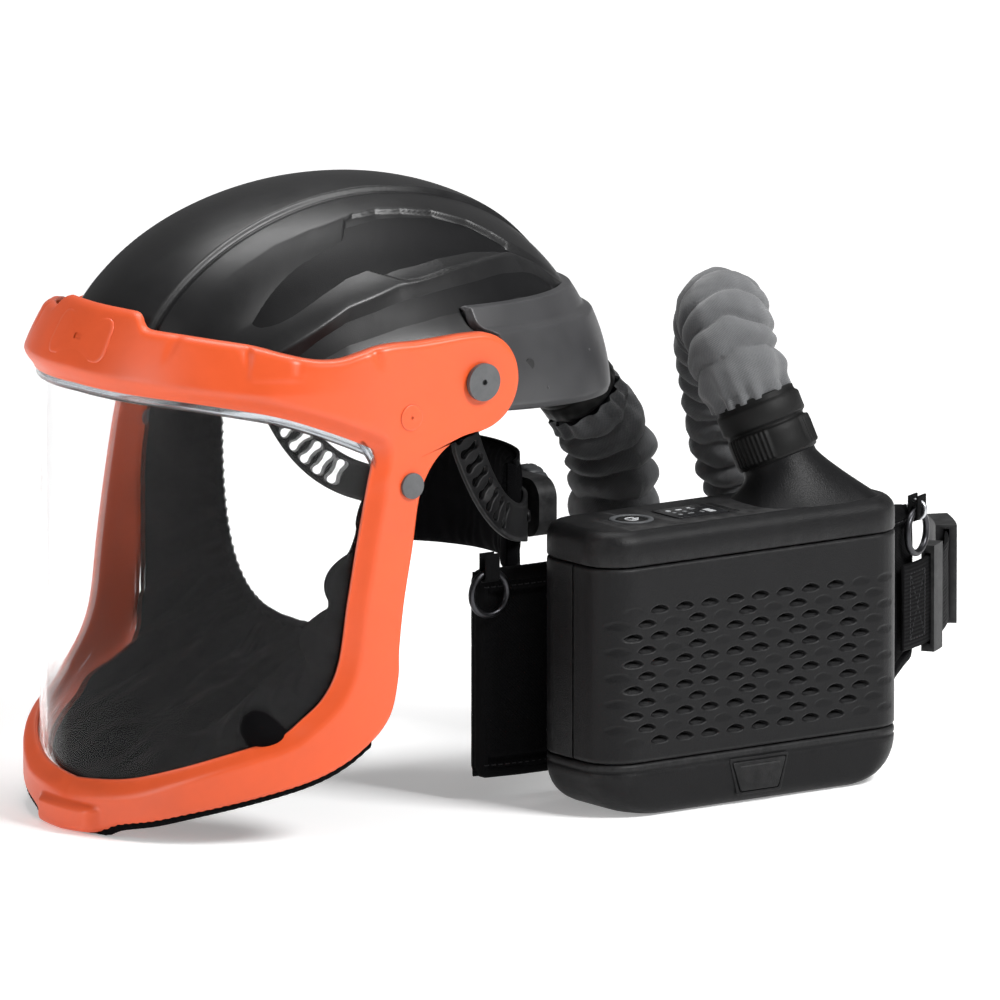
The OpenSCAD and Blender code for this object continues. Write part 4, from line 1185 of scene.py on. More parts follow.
def welded(obj):
    """Coincident points merged, so that pinched ends are closed."""
    bm = bmesh.new()
    bm.from_mesh(obj.data)
    bmesh.ops.remove_doubles(bm, verts=bm.verts, dist=2e-6)
    bm.to_mesh(obj.data)
    bm.free()
    return obj


def tape(name, line, normal, width, thick, material, rows=5, wave=0.0):
    """A flat tape along a line, with its face along normal; thin, with rounded edges."""
    line = np.asarray(line, float)
    n = np.asarray(normal, float) + 0 * line
    n /= np.linalg.norm(n, axis=1)[:, None]
    d = np.gradient(line, axis=0)
    d /= np.linalg.norm(d, axis=1)[:, None]
    across = np.cross(n, d)
    across /= np.linalg.norm(across, axis=1)[:, None]
    out = []
    shape = [(-0.5, 0), (-0.47, 0.5)] + [(x, 0.5) for x in np.linspace(-0.4, 0.4, rows)] + [(0.47, 0.5),
            (0.5, 0)]
    shape = shape + [(0.47, -0.5), (0.4, -0.5), (-0.4, -0.5), (-0.47, -0.5)]
    for x, h in shape:
        lift = wave * waves(line + across * x * width, 22, 9)[:, None] if wave else 0
        edge = line + across * x * width + n * (h * thick) + n * lift
        out.append(np.concatenate([line[:1], edge, line[-1:]]))
    return welded(grid(name, out, material, wrap_rows=True))


pad_trims = []
for z in (-112.8, -59.2):
    a = np.linspace(48, 132, 200)
    line = band_at(a, 3.6, np.full(200, float(z)))
    pad_trims.append(tape("nape_hem", line, band_at(a, 4.6, 0.0) - band_at(a, 3.6, 0.0), 4.2, 1.5,
                          binding_mat, 4, 0.25))
nape_hems = joined("nape_cushion_hems", pad_trims)
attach(nape_hems, "nape_cradle")

# small moulded studs that fix the ladder strap to the ratchet housing
studs = joined("nape_studs", [lathe("stud", [(0.01, 1.5), (2.6, 1.4), (3.4, 0.7), (3.5, -1.2)],
                                    band_at(np.array([a]), NAPE_OFF + 1.2, RATCHET_Z + dz)[0],
                                    band_at(np.array([a]), 2.0, 0.0)[0] - band_at(np.array([a]), 1.0, 0.0)[0],
                                    harness_mat, 24) for a in (63, 117) for dz in (0,)])
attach(studs, "nape_cradle")


def brow_place(u, v):
    a = 215 + 110 * u
    z = -1.4 + 22.8 * v
    p = band_at(a, -4.3, z)
    n = p - band_at(a, -5.3, z)
    return p, n / np.linalg.norm(n, axis=-1)[..., None]


sweat_pad = pillow("brow_sweatband", brow_place, 220, 36, 4.6, sweat_mat,
                   lambda u, v: round_edge(u, v, 160, 23, 3.2), [(0.5, "u", 0.004, 0.5)], 0.25, 33, 9)
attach(sweat_pad, "respirator")
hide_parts("sweatband")

# ---------------------------------------------------------------- ratchet knob and hose ends


def unit(axis):
    return np.array(axis, float) / np.linalg.norm(axis)


PORT_AT, PORT_AXIS = np.array([0.0, 120, -8]), unit((0, 0.643, -0.766))
OUT_AT, OUT_AXIS = np.array([118.0, 193, -80]), unit((-0.3345, -0.2079, 0.9191))


def grips(count, deep, sharp=3.0, keep=(0, 99)):
    """Rounded vertical ribs round a turned part."""
    return lambda a, k: deep * (np.abs(np.cos(count * a / 2)) ** sharp - 0.5) * (keep[0] <= k <= keep[1])


cuff = lathe("hose_cuff_ring",
             [(18.2, 29.4), (20.0, 29.2), (20.9, 30.0), (20.9, 32.0), (20.2, 32.6), (20.2, 33.4),
              (20.9, 34.0), (20.9, 40.4), (20.3, 41.2), (20.2, 42.0), (19.4, 42.9), (18.2, 42.9)], PORT_AT,
             PORT_AXIS, rubber_mat, 120, grips(22, 0.35, 2.0, (6, 8)))
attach(cuff, "port_cuff")
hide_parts("hose_cuff")
port = lathe("hose_port_elbow",
             [(15.2, -2), (15.2, 37.6), (17.6, 38), (17.9, 37.4), (17.9, 29), (17.9, 9), (18.8, 7.8),
              (19.4, 6.0), (22.0, 5.2), (22.4, 4.6), (22.4, 2.4), (21.8, 2.0), (18.2, 2.0), (18.2, -2)],
             PORT_AT, PORT_AXIS, black_mat, 96)
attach(port, "respirator")
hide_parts("hose_port")


def collar_ripple(a, k):
    """Two tiers: the lower with fine grip ribs between smooth panels, the upper plain with a notch."""
    panel = step(np.cos(3 * a + 0.5), -0.25, 0.05)
    ribs = 0.30 * np.cos(54 * a) * panel
    return (ribs + 0.45 * panel) * (4 <= k <= 9) - 0.35 * (1 - panel) * (4 <= k <= 9)


COLLAR = [(18.4, 20.3), (19.8, 20.3), (20.8, 21.0), (21.0, 22.0), (21.4, 22.5), (21.7, 23.2), (21.7, 28.0),
          (21.7, 33.0), (21.5, 36.0), (21.1, 36.8), (20.2, 37.2), (20.1, 38.2), (20.5, 39.0), (21.4, 39.5),
          (21.9, 40.4), (21.9, 48.6), (21.5, 49.6), (20.7, 50.2), (20.3, 51.0), (20.2, 53.2), (19.6, 53.9),
          (18.0, 53.9)]
collar = lathe("outlet_collar_ring", COLLAR, OUT_AT, OUT_AXIS, rubber_mat, 324, collar_ripple)
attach(collar, "collar")
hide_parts("outlet_collar")

knob_profile = [(0.02, 4.9), (9.6, 5.0), (10.4, 5.6), (10.9, 8.6), (11.4, 9.6), (12.6, 9.95), (15.4, 9.8),
                (16.4, 9.2), (16.9, 8.0), (16.9, 1.6), (16.3, 0.4), (15.0, 0.05), (0.02, 0.05)]
knob = lathe("ratchet_knob_turned", knob_profile, (0, 97.6 + 11.3, RATCHET_Z), (0, 1, 0), grey_mat, 216,
             lambda a, k: -0.85 * np.abs(np.cos(9 * a)) ** 12 * (6 <= k <= 11))
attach(knob, "ratchet")
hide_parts("ratchet_knob")

# ---------------------------------------------------------------- blower

BX, BY, BZ = (86.0, 150.0), (53.0, 243.0), (-226.0, -80.0)
SEAM_TOP, SEAM_LOW, SPLIT = -98.0, -198.0, 122.4


def block_line(inset, x0=None, n=9):
    """The blower's outline in plan, counterclockwise from the split on the -Y side, or all round."""
    xa, xb, ya, yb, r = BX[0] + inset, BX[1] - inset, BY[0] + inset, BY[1] - inset, 20 - inset
    pts = []
    corners = [(xb - r, ya + r, -90), (xb - r, yb - r, 0), (xa + r, yb - r, 90), (xa + r, ya + r, 180)]
    if x0 is not None:
        pts.append((x0, ya))
        corners = corners[:2]
    for cx, cy, a0 in corners:
        for k in range(n + 1):
            a = math.radians(a0 + 90 * k / n)
            pts.append((cx + r * math.cos(a), cy + r * math.sin(a)))
    if x0 is not None:
        pts.append((x0, yb))
    pts = np.array(pts)
    closed = np.concatenate([pts, pts[:1]]) if x0 is None else pts
    return closed, pts


def outline_n(inset, count, x0=None):
    closed, _ = block_line(inset, x0)
    line = resample(closed, count + 1 if x0 is None else count)
    return line[:-1] if x0 is None else line


def slot_places():
    """The cover's dimples as (y, z, depth): full rows, sparse rows between them and faint ones filling in."""
    out = []
    for row in range(11):
        z = -187.2 + 6.64 * row
        for k in range(-1, 11):
            y = 70.7 + 15.68 * k + (7.84 if row % 2 else 0)
            if row % 2:
                real = k % 2 == 0 and 0 <= k <= 8
            else:
                real = (0 <= k <= 9) if 0 < row < 10 else 1 <= k <= 8
            if 62 < y < 232:
                out.append((y, z, 1.0 if real else 0.16))
    return out


def dimple(y, z):
    """Depth of the cover's lens-shaped openings: a sharp upper lip and a scooped face that catches light; and
    a painted shade mask for the upper part of each real opening.
    """
    deep = np.zeros_like(y)
    dark = np.zeros_like(y)
    for cy, cz, d in slot_places():
        u, v = (y - cy) / 5.7, (z - cz) / 2.5
        near = (np.abs(u) < 1.3) & (np.abs(v) < 1.5)
        if not near.any():
            continue
        lens_shape = 1 - np.abs(u[near]) ** 1.6 - np.abs(v[near]) ** (1.5 if d > 0.5 else 1.8)
        inside = np.clip(lens_shape, 0, 1)
        slope = np.clip(0.5 + 0.62 * v[near], 0.02, 1)
        deep[near] = np.maximum(deep[near], d * 3.9 * np.minimum(1, inside * 3.2) * slope)
        # painted shade: the upper part of each real opening is darkened, as under its lip
        dark[near] = np.maximum(dark[near], (d > 0.5) * np.minimum(1, inside * 3) * step(v[near], -0.2, 0.3))
    return deep, dark


def make_cover_front():
    """The removable cover: rounded sides, and a fine front with the dimples pressed in."""
    zs = np.concatenate([[SEAM_LOW + 0.35, SEAM_LOW + 0.9, SEAM_LOW + 1.8], np.arange(-195.4, -112, 0.42),
                         np.linspace(-111, -101, 6), [SEAM_TOP - 1.6, SEAM_TOP - 0.9, SEAM_TOP - 0.45]])
    base, _ = block_line(0, SPLIT)
    side = resample(base[:11], 34)
    front = np.stack([np.full(330, 150.0), np.linspace(73, 223, 330)], 1)
    other = resample(base[-11:], 34)
    line = np.concatenate([side, front[1:-1], other])
    d = np.gradient(line, axis=0)
    n = np.stack([d[:, 1], -d[:, 0]], 1)
    n /= np.linalg.norm(n, axis=1)[:, None]
    rows, tints = [], []
    for i, z in enumerate(zs):
        inset = (1.1, 0.35, 0.0)[i] if i < 3 else ((0.0, 0.35,
                                                    1.0)[i - len(zs) + 3] if i >= len(zs) - 3 else 0.0)
        y = line[:, 1].copy()
        deep, dark = dimple(y, np.full_like(y, z))
        deep = deep * (line[:, 0] > 132)
        swell = 0.0
        off = -inset - deep - swell
        p = line + n * off[:, None]
        rows.append(np.column_stack([p, np.full(len(p), z)]))
        # the openings' painted shade mask, carried to the material as tint
        tints.append(dark)
    rows, tints = np.array(rows), np.array(tints)
    inner = []
    for z in (SEAM_TOP - 0.45, SEAM_LOW + 0.35):
        p = line - n * 4.2
        inner.append(np.column_stack([p, np.full(len(p), z)]))
    rows = np.concatenate([rows, inner])
    tints = np.concatenate([tints, np.zeros((2, tints.shape[1]))])
    return grid("filter_cover_front", rows, cover_front_mat, wrap_rows=True, tint=tints)


def dimpled_plastic():
    """The blower's textured plastic, with painted shade, near black, in the upper part of its openings."""
    m = plastic("blower_dimpled", (0.0055, 0.0055, 0.006), 0.40, grain=0.75, grain_mm=0.7, edge_highlight=0.35,
                shine=0.17)
    t = m.node_tree
    bsdf = next(n for n in t.nodes if n.type == "BSDF_PRINCIPLED")
    old = bsdf.inputs["Base Color"].links[0].from_socket
    mix, att = t.nodes.new("ShaderNodeMix"), t.nodes.new("ShaderNodeAttribute")
    mix.data_type, att.attribute_name = "RGBA", "tint"
    t.links.new(att.outputs["Fac"], mix.inputs[0])
    t.links.new(old, mix.inputs[6])
    # near black: the painted shade in the openings
    mix.inputs[7].default_value = (0.0006, 0.0006, 0.0006, 1)
    t.links.new(mix.outputs[2], bsdf.inputs["Base Color"])
    return m


cover_front_mat = dimpled_plastic()
cover_front = make_cover_front()
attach(cover_front, "cover")
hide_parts("filter_cover")


def block_rows(levels, count=220):
    """Closed outlines at (z, inset) levels."""
    return [np.column_stack([outline_n(inset, count), np.full(count, z)]) for z, inset in levels]


def make_housing():
    """The back half of the body, open towards the filter, with a moulded border round its back face."""
    zs = [(SEAM_LOW + 0.35, 1.0), (SEAM_LOW + 0.9, 0.3), (SEAM_LOW + 1.8, 0), (-150, 0), (SEAM_TOP - 1.8, 0),
          (SEAM_TOP - 0.9, 0.3), (SEAM_TOP - 0.45, 1.0)]
    rows = []
    for z, inset in zs + [(SEAM_TOP - 0.45, 3.0), (SEAM_LOW + 0.35, 3.0)]:
        line, _ = block_line(inset)
        full = resample(line, 600)
        keep = full[full[:, 0] <= 121.9]
        i = np.argmax(np.linalg.norm(np.diff(keep, axis=0), axis=1))
        keep = np.roll(keep, -(i + 1), axis=0) if np.linalg.norm(keep[i + 1] - keep[i]) > 20 else keep
        keep = resample(keep, 160)
        rows.append(np.column_stack([keep, np.full(160, z)]))
    return grid("blower_back_shell", rows, blower_mat, wrap_rows=True)


housing = make_housing()
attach(housing, "respirator")
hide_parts("blower_housing")


def disc_ring(cx, cy, r, n=48):
    a = np.linspace(0, 2 * np.pi, n, endpoint=False)
    return [(cx + r * math.cos(k), cy + r * math.sin(k)) for k in a]


BUTTON = (118.0, 92.0)


def make_top_cap():
    """The top: an upright band, a rounded shoulder and a nearly flat face with the button's well."""
    levels = [(SEAM_TOP + 0.45, 1.0), (SEAM_TOP + 0.9, 0.35), (SEAM_TOP + 1.6, 0.0), (-90.0, 0.0),
              (-87.2, 0.05), (-85.4, 0.5), (-83.8, 1.3), (-82.4, 2.4), (-81.3, 3.7), (-80.55, 5.1),
              (-80.2, 6.4)]
    rows = block_rows(levels)
    rows.insert(0, np.column_stack([outline_n(4.0, 220), np.full(220, SEAM_TOP + 0.45)]))
    wall_part = grid("top_cap_wall", rows, blower_mat, wrap_cols=True, flip=False)
    face_line = [tuple(p) for p in outline_n(6.2, 160)]
    panel_hole = [(119 + p[0], 128 + p[1]) for p in rounded_rect(24.4, 33.2, 2.2, 4)]
    face = flat_shape("top_cap_face", face_line, [disc_ring(*BUTTON, 11.4, 56), panel_hole], 2.6, 0.3,
                      blower_mat, lambda p: p + np.array([0, 0, -81.55]))
    well = lathe("button_well", [(11.4, -82.6), (11.0, -84.6), (0.1, -84.7)], (*BUTTON, 0), (0, 0, 1),
                 blower_mat, 48)
    return joined("blower_top_cap", [wall_part, face, well])


top_cap = make_top_cap()
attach(top_cap, "respirator")
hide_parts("top_cap")

ring_piece = lathe("power_ring",
                   [(8.35, -83.8), (8.35, -80.5), (8.7, -79.95), (9.4, -79.7), (10.6, -79.7), (11.2, -79.9),
                    (11.35, -80.4), (11.35, -83.8)], (*BUTTON, 0), (0, 0, 1), grey_mat, 96)
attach(ring_piece, "respirator")
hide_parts("button_ring")
mark_mat = plastic("printed_mark", (0.42, 0.43, 0.44), 0.5, grain=0.1, grain_mm=0.3, edge_highlight=0.0, vary=0.04)
dim_mark_mat = plastic("printed_mark_dim", (0.16, 0.165, 0.17), 0.5, grain=0.1, grain_mm=0.3, edge_highlight=0.0,
                       vary=0.04)
disc = lathe("power_disc",
             [(0.02, -80.35), (5.6, -80.4), (6.6, -80.15), (7.4, -79.95), (7.9, -80.2), (8.1, -80.9),
              (8.1, -83.6)], (*BUTTON, 0), (0, 0, 1), rubber_mat, 72)
a = np.radians(np.linspace(122, 418, 40))
arc_line = [(BUTTON[0] + 3.3 * math.cos(k), BUTTON[1] + 3.3 * math.sin(k), -80.30) for k in a]
icon = tube("power_arc", arc_line, 0.42, mark_mat, 8)
icon_bar = tube("power_bar", [(BUTTON[0], BUTTON[1] + 0.4, -80.30), (BUTTON[0], BUTTON[1] + 2.2, -80.30),
                              (BUTTON[0], BUTTON[1] + 4.4, -80.28)], 0.42, mark_mat, 8)
button = joined("power_button_face", [disc, icon, icon_bar])
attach(button, "button")
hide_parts("power_button")

# the indicator panel: a film with status marks, all generic
PANEL_Z = -79.95
film_mat = plastic("panel_film", (0.010, 0.010, 0.011), 0.24, grain=0.05, grain_mm=0.5, edge_highlight=0.1, marks=0.5)


def flat_mark(name, outline, z, material, thick=0.18):
    return flat_shape(name, outline, [], thick, 0.04, material, lambda p: p + np.array([0, 0, z]))


marks = [flat_shape("film", [(119 + p[0], 128 + p[1]) for p in rounded_rect(23.4, 32.0, 2.0, 4)], [], 1.2,
                    0.25, film_mat,
                    lambda p: p + np.array([0, 0, PANEL_Z - 0.55]))]
for i, (dx, dy, w, h) in enumerate([(-5.5, -10, 2.6, 2.6), (0, -10, 2.0, 2.0), (5.2, -10, 2.4, 2.4),
                                    (-5.5, -3.5, 1.6, 3.6),
                                    (0, -3.5, 2.2, 2.2), (5.2, -3.5, 1.6, 3.6), (-6.5, 3.4, 1.2, 2.4),
                                    (-3.6, 3.4, 1.2, 3.2),
                                    (5.0, 3.6, 3.2, 1.4)]):
    line = [(119 + dx + p[0], 128 + dy + p[1]) for p in rounded_rect(w, h, min(w, h) * 0.3, 3)]
    marks.append(flat_mark("mark", line, PANEL_Z + 0.1, dim_mark_mat if i % 3 else mark_mat))
for k in range(3):
    line = [(119 + 1.6 + 2.6 * k + p[0], 128 + 8.6 + p[1]) for p in rounded_rect(1.9, 4.2, 0.3, 2)]
    marks.append(flat_mark("bar", line, PANEL_Z + 0.1, mark_mat))
panel = joined("indicator_film", marks)
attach(panel, "respirator")
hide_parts("indicator_panel")
crease = joined("panel_end_lines", [tube("line", [(106.5, y, -80.26), (119, y, -80.2), (132.5, y, -80.26)],
                                         0.28, black_mat, 8)
                                    for y in (146.8, 148.6)])
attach(crease, "respirator")


def make_neck():
    """The outlet's hump: from a wide faceted foot on the top cap up to the round neck under the collar."""
    count = 144
    foot = rounded_rect(60, 84, 18, 10)
    foot = foot + np.array([118, 199.5])
    foot = resample(np.concatenate([foot, foot[:1]]), count + 1)[:-1]
    w = OUT_AXIS
    side = np.cross(w, (0, 0, 1.0))
    side /= np.linalg.norm(side)
    centre = foot.mean(0)
    ang = np.arctan2(foot[:, 1] - centre[1], foot[:, 0] - centre[0])
    plan = np.stack([np.cos(ang), np.sin(ang), 0 * ang], 1)
    flat_dir = plan - (plan @ w)[:, None] * w
    flat_dir /= np.linalg.norm(flat_dir, axis=1)[:, None]
    rows = []
    for f in np.linspace(0, 1, 40):
        h = 20.6 * f ** 0.8
        r = 19.2 + 1.2 * (1 - f)
        top = OUT_AT + w * (20.6 * (0.25 + 0.75 * f)) + flat_dir * r
        base = np.column_stack([foot, np.full(count, -85.5 + 9.0 * f)])
        base[:, :2] = centre + (base[:, :2] - centre) * (1 - 0.10 * f)
        k = step(f, -0.10, 0.86) ** 1.25
        k = k ** np.where(np.abs(np.sin(2 * ang)) > 0.75, 0.93, 1.0)
        rows.append(base * (1 - k)[:, None] + top * k[:, None])
    for h, r in ((21.4, 19.4), (26, 18.6), (40.8, 18.4), (40.8, 15.2), (8, 15.2)):
        rows.append(OUT_AT + w * h + flat_dir * r)
    return grid("outlet_neck_hump", rows, blower_mat, wrap_cols=True)


neck = make_neck()
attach(neck, "respirator")
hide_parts("outlet_neck")

# the battery pack: the same plan outline, big rounded lower corners and a groove below its top edge


def make_battery():
    count, rows = 260, []

    def level(z, inset):
        h = z - BZ[0]
        r = 24.0
        low = 24 - np.sqrt(np.maximum(r * r - np.clip(24 - h, 0, 24) ** 2, 0)) if h < 24 else 0
        q = outline_n(inset, count)
        lo, hi = BY[0] + low + inset, BY[1] - low - inset
        mid = (BY[0] + BY[1]) / 2
        squeeze = (hi - lo) / (BY[1] - BY[0] - 2 * inset)
        q = np.column_stack([q[:, 0], mid + (q[:, 1] - mid) * squeeze, np.full(count, z)])
        return q
    rows.append(level(SEAM_LOW - 0.3, 4.0))
    for z, inset in ((SEAM_LOW - 0.3, 1.1), (SEAM_LOW - 0.8, 0.4), (SEAM_LOW - 1.6, 0.0), (-201.2, 0.0),
                     (-201.9, 0.5), (-202.6, 0.5), (-203.3, 0.0), (-206, 0), (-210, 0), (-214, 0.1),
                     (-217, 0.3), (-219.5, 0.7), (-221.5, 1.2), (-223.2, 2.0), (-224.5, 3.0), (-225.4, 4.4),
                     (-225.85, 6.2), (-226, 8.0)):
        rows.append(level(z, inset))
    last = rows[-1]
    mid = last.mean(0)
    for f in (0.8, 0.5, 0.2, 0.02):
        rows.append(mid + (last - mid) * f)
    obj = grid("battery_shell", rows, blower_mat, wrap_cols=True, flip=True)
    return obj


battery = make_battery()
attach(battery, "battery")
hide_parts("battery_case")


def trapezoid(grow):
    return [(131 - grow, -204 + grow), (136 - grow, -220 - grow), (160 + grow, -220 - grow),
            (165 + grow, -204 + grow)]


def softened(poly, r=1.2, n=3):
    out = []
    p = np.array(poly, float)
    for i in range(len(p)):
        a, b, c = p[i - 1], p[i], p[(i + 1) % len(p)]
        d1, d2 = (a - b) / np.linalg.norm(a - b), (c - b) / np.linalg.norm(c - b)
        for k in range(n + 1):
            t = k / n
            out.append(tuple(b + d1 * r * (1 - t) ** 2 + d2 * r * t ** 2))
    return out


def facing_x(x):
    return lambda p: np.column_stack([x + p[:, 2], p[:, 0], p[:, 1]])


latch = joined("battery_latch_plate", [
    flat_shape("latch_plate", softened(trapezoid(-0.5)), [], 2.4, 0.5, blower_mat, facing_x(149.9)),
    flat_shape("latch_ridge", [(137 + p[0] + 11, -206.8 + p[1]) for p in rounded_rect(25, 0.9, 0.4, 3)], [],
               0.8, 0.3,
               blower_mat, facing_x(151.1))])
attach(latch, "latch")
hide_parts("battery_latch")
surround = flat_shape("latch_surround", softened(trapezoid(1.5), 1.6), [softened(trapezoid(0.1))], 1.1, 0.3,
                      blower_mat, facing_x(150.0))
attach(surround, "battery")

# ---------------------------------------------------------------- belt

BELT_MID_X, BELT_R, BELT_Z, BELT_H, BELT_T = 69.5 - 150, 150.0, -214.0, 106.0, 13.0
BELT_BITS = [14.5 * math.pi / 180 * BELT_R, 170.0, 30 * math.pi / 180 * BELT_R]
BELT_LEN = sum(BELT_BITS)


def belt_at(along):
    """Plan point and outward normal at a distance along the belt, from its front end."""
    s = np.asarray(along, float)
    a1 = np.radians(-14.5) + np.minimum(s, BELT_BITS[0]) / BELT_R
    straight = np.clip(s - BELT_BITS[0], 0, BELT_BITS[1])
    a2 = np.clip(s - BELT_BITS[0] - BELT_BITS[1], 0, None) / BELT_R
    a = np.where(s < BELT_BITS[0], a1, a2)
    mid_y = 70 + straight
    n = np.stack([np.cos(a), np.sin(a)], axis=-1)
    return np.stack([BELT_MID_X + BELT_R * n[..., 0], mid_y + BELT_R * n[..., 1]], axis=-1), n


def belt_low(along):
    """The belt's lower edge, cut up at its far end."""
    return BELT_Z + 26 * step(along, BELT_LEN - 50, BELT_LEN + 2) ** 0.8


def belt_place(u, v):
    s = u * BELT_LEN
    p, n = belt_at(s)
    low = belt_low(s)
    top = BELT_Z + BELT_H - 0.8
    z = low + 0.5 + (top - low - 0.5) * v
    return np.concatenate([p, z[..., None]], -1), np.concatenate([n, 0 * z[..., None]], -1)


SEAM_U = [46 / BELT_LEN, (BELT_LEN - 22) / BELT_LEN]


def belt_profile(u, v):
    e = round_edge(u, v, BELT_LEN, BELT_H, 7.5)
    return e * (0.93 + 0.05 * np.sin(9 * u + 3 * v))


pad = pillow("belt_pad_padded", belt_place, 420, 130, BELT_T - 1.2, pad_mat, belt_profile,
             [(SEAM_U[0], "u", 0.0045, 0.45), (SEAM_U[1], "u", 0.004, 0.35), (0.90, "v", 0.012, 0.35),
              (0.09, "v", 0.012, 0.35)], 0.28, 41, 26)
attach(pad, "respirator")
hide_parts("belt_pad")


def border(n=520):
    """The pad's border as a closed loop of (point, normal)."""
    m = n // 4
    s = np.concatenate([np.linspace(3, BELT_LEN - 3, 2 * m), np.full(m // 2, BELT_LEN - 1.0),
                        np.linspace(BELT_LEN - 3, 3, 2 * m), np.full(m // 2, 1.0)])
    v = np.concatenate([np.zeros(2 * m), np.linspace(0.02, 0.98, m // 2), np.ones(2 * m),
                        np.linspace(0.98, 0.02, m // 2)])
    p, nn = belt_place(s / BELT_LEN, v)
    return p, nn


def make_binding():
    p, n = border()
    k = np.ones(5) / 5
    p = np.stack([np.convolve(np.pad(p[:, i], 2, mode="wrap"), k, "valid") for i in range(3)], 1)
    d = np.roll(p, -1, 0) - np.roll(p, 1, 0)
    d /= np.linalg.norm(d, axis=1)[:, None]
    out = np.cross(n, d)
    out /= np.linalg.norm(out, axis=1)[:, None]
    rows = []
    for x, h in ((-5.2, 4.3), (-5.0, 5.0), (-3.0, 4.9), (-0.6, 4.3), (0.5, 3.0), (0.8, 0.0), (0.5, -3.0),
                 (-0.6, -4.3), (-3.0, -4.9), (-5.0, -5.0), (-5.2, -4.3)):
        lift = 0.18 * waves(p + n * h, 12, 12)[:, None]
        rows.append(p - out * x + n * (h + np.sign(h) * 0.35) + n * lift)
    return grid("belt_binding", rows, binding_mat, wrap_cols=True)


binding = make_binding()
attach(binding, "respirator")


def stitches(name, line, normals, long=2.6, gap=1.2, r=0.28, lift=0.15):
    """A run of short threads along a line."""
    line = np.asarray(line, float)
    along = np.concatenate([[0], np.cumsum(np.linalg.norm(np.diff(line, axis=0), axis=1))])
    at = 0.0
    verts, faces = [], []
    while at + long < along[-1]:
        t = np.linspace(at, at + long, 4)
        p = np.stack([np.interp(t, along, line[:, i]) for i in range(3)], 1)
        nn = np.stack([np.interp(t, along, normals[:, i]) for i in range(3)], 1)
        rise = np.array([-0.25, lift, lift, -0.25])[:, None]
        p = p + nn * rise
        d = (p[-1] - p[0]) / np.linalg.norm(p[-1] - p[0])
        side = np.cross(d, nn[1])
        base = len(verts)
        for q in p:
            for k in range(6):
                a = k * math.pi / 3
                verts.append(q + r * (math.cos(a) * side + math.sin(a) * nn[1]))
        for j in range(3):
            for k in range(6):
                faces.append((base + j * 6 + k, base + j * 6 + (k + 1) % 6, base + (j + 1) * 6 + (k + 1) % 6,
                              base + (j + 1) * 6 + k))
        faces.append(tuple(base + k for k in range(5, -1, -1)))
        faces.append(tuple(base + 18 + k for k in range(6)))
        at += long + gap
    return finish_mesh(name, verts, faces, thread_mat)


def on_pad(s, v, lift):
    p, n = belt_place(np.asarray(s) / BELT_LEN, np.asarray(v))
    return p + n * lift, n


seam_bits = []
for v, s0, s1 in ((0.93, 4, BELT_LEN - 4), (0.06, 4, BELT_LEN - 50)):
    s = np.linspace(s0, s1, 300)
    seam_bits.append(stitches("run", *on_pad(s, np.full(300, v), 5.55)))
for s0 in (49.5, 42.5, BELT_LEN - 25):
    v = np.linspace(0.08, 0.92, 120)
    seam_bits.append(stitches("run", *on_pad(np.full(120, s0), v, 5.45)))
seams = joined("belt_stitching", seam_bits)
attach(seams, "respirator")

# the webbing strap: it starts on the pad's far end and runs on past it
STRAP_Z, STRAP_R = BELT_Z + 33, BELT_R + 6.5 + 2.6


def strap_at(deg, r, z):
    a = np.radians(np.asarray(deg, float))
    return np.stack([BELT_MID_X + r * np.cos(a), 240 + r * np.sin(a), z + 0 * a], -1)


deg = np.linspace(22.2, 57.8, 120)
strap_line = strap_at(deg, STRAP_R, STRAP_Z + 22.5)
strap_normal = strap_at(deg, 1.0, 0.0) - strap_at(deg, 0.0, 0.0)
webbing = tape("belt_webbing", strap_line, strap_normal, 45, 1.9, webbing_mat, 9, 0.25)
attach(webbing, "respirator")
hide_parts("belt_strap")

box_x = [(24.5, 0.12), (24.5, 0.88), (30.5, 0.88), (30.5, 0.12), (24.5, 0.12), (30.5, 0.88), (30.5, 0.12),
         (24.5, 0.88)]
pts = np.array([strap_at(d, STRAP_R + 1.0, STRAP_Z + 45 * f) for d, f in box_x])
nrm = np.array([strap_at(d, 1.0, 0.0) - strap_at(d, 0.0, 0.0) for d, f in box_x])
path = resample(np.concatenate([pts, nrm], 1), 400)
tack = stitches("webbing_stitching", path[:, :3], path[:, 3:], 2.2, 0.9, 0.3, 0.1)
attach(tack, "respirator")


def holder(name, centre, normal, ring_r, drop, width):
    """A small folded loop of tape that a ring hangs in."""
    c, n = np.array(centre, float), np.array(normal, float) / np.linalg.norm(normal)
    loop = []
    base_out, base_in = c + n * 2.4, c - n * 2.4
    for z in np.linspace(drop, -2.6, 8):
        loop.append(base_out + np.array([0, 0, ring_r + z]))
    for k in np.linspace(0, math.pi, 8)[1:-1]:
        loop.append(c + n * 2.4 * math.cos(k) + np.array([0, 0, ring_r - 2.6 - 2.0 * math.sin(k)]))
    for z in np.linspace(-2.6, drop, 8):
        loop.append(base_in + np.array([0, 0, ring_r + z]))
    loop = np.array(loop)
    d = np.gradient(loop, axis=0)
    side = np.cross(n, (0, 0, 1.0))
    return tape(name, loop, np.cross(d, np.broadcast_to(side, d.shape)), width, 1.1, binding_mat, 4)


# a folded tab at the front end that holds the ring, and one at the far end
ring_at = (77.0, 34.0, -118.0)
tab = holder("front_ring_tab", ring_at, (1, 0, 0), 11, 9.5, 9)
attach(tab, "respirator")
FAR_TURN, FAR_REACH = math.radians(27.5), 159.5
far_n = (math.cos(FAR_TURN), math.sin(FAR_TURN), 0)
far_c = np.array([BELT_MID_X + FAR_REACH * far_n[0], 240 + FAR_REACH * far_n[1], -121.0])
tab2 = holder("far_ring_tab", far_c, far_n, 11, 8.0, 10)
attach(tab2, "respirator")


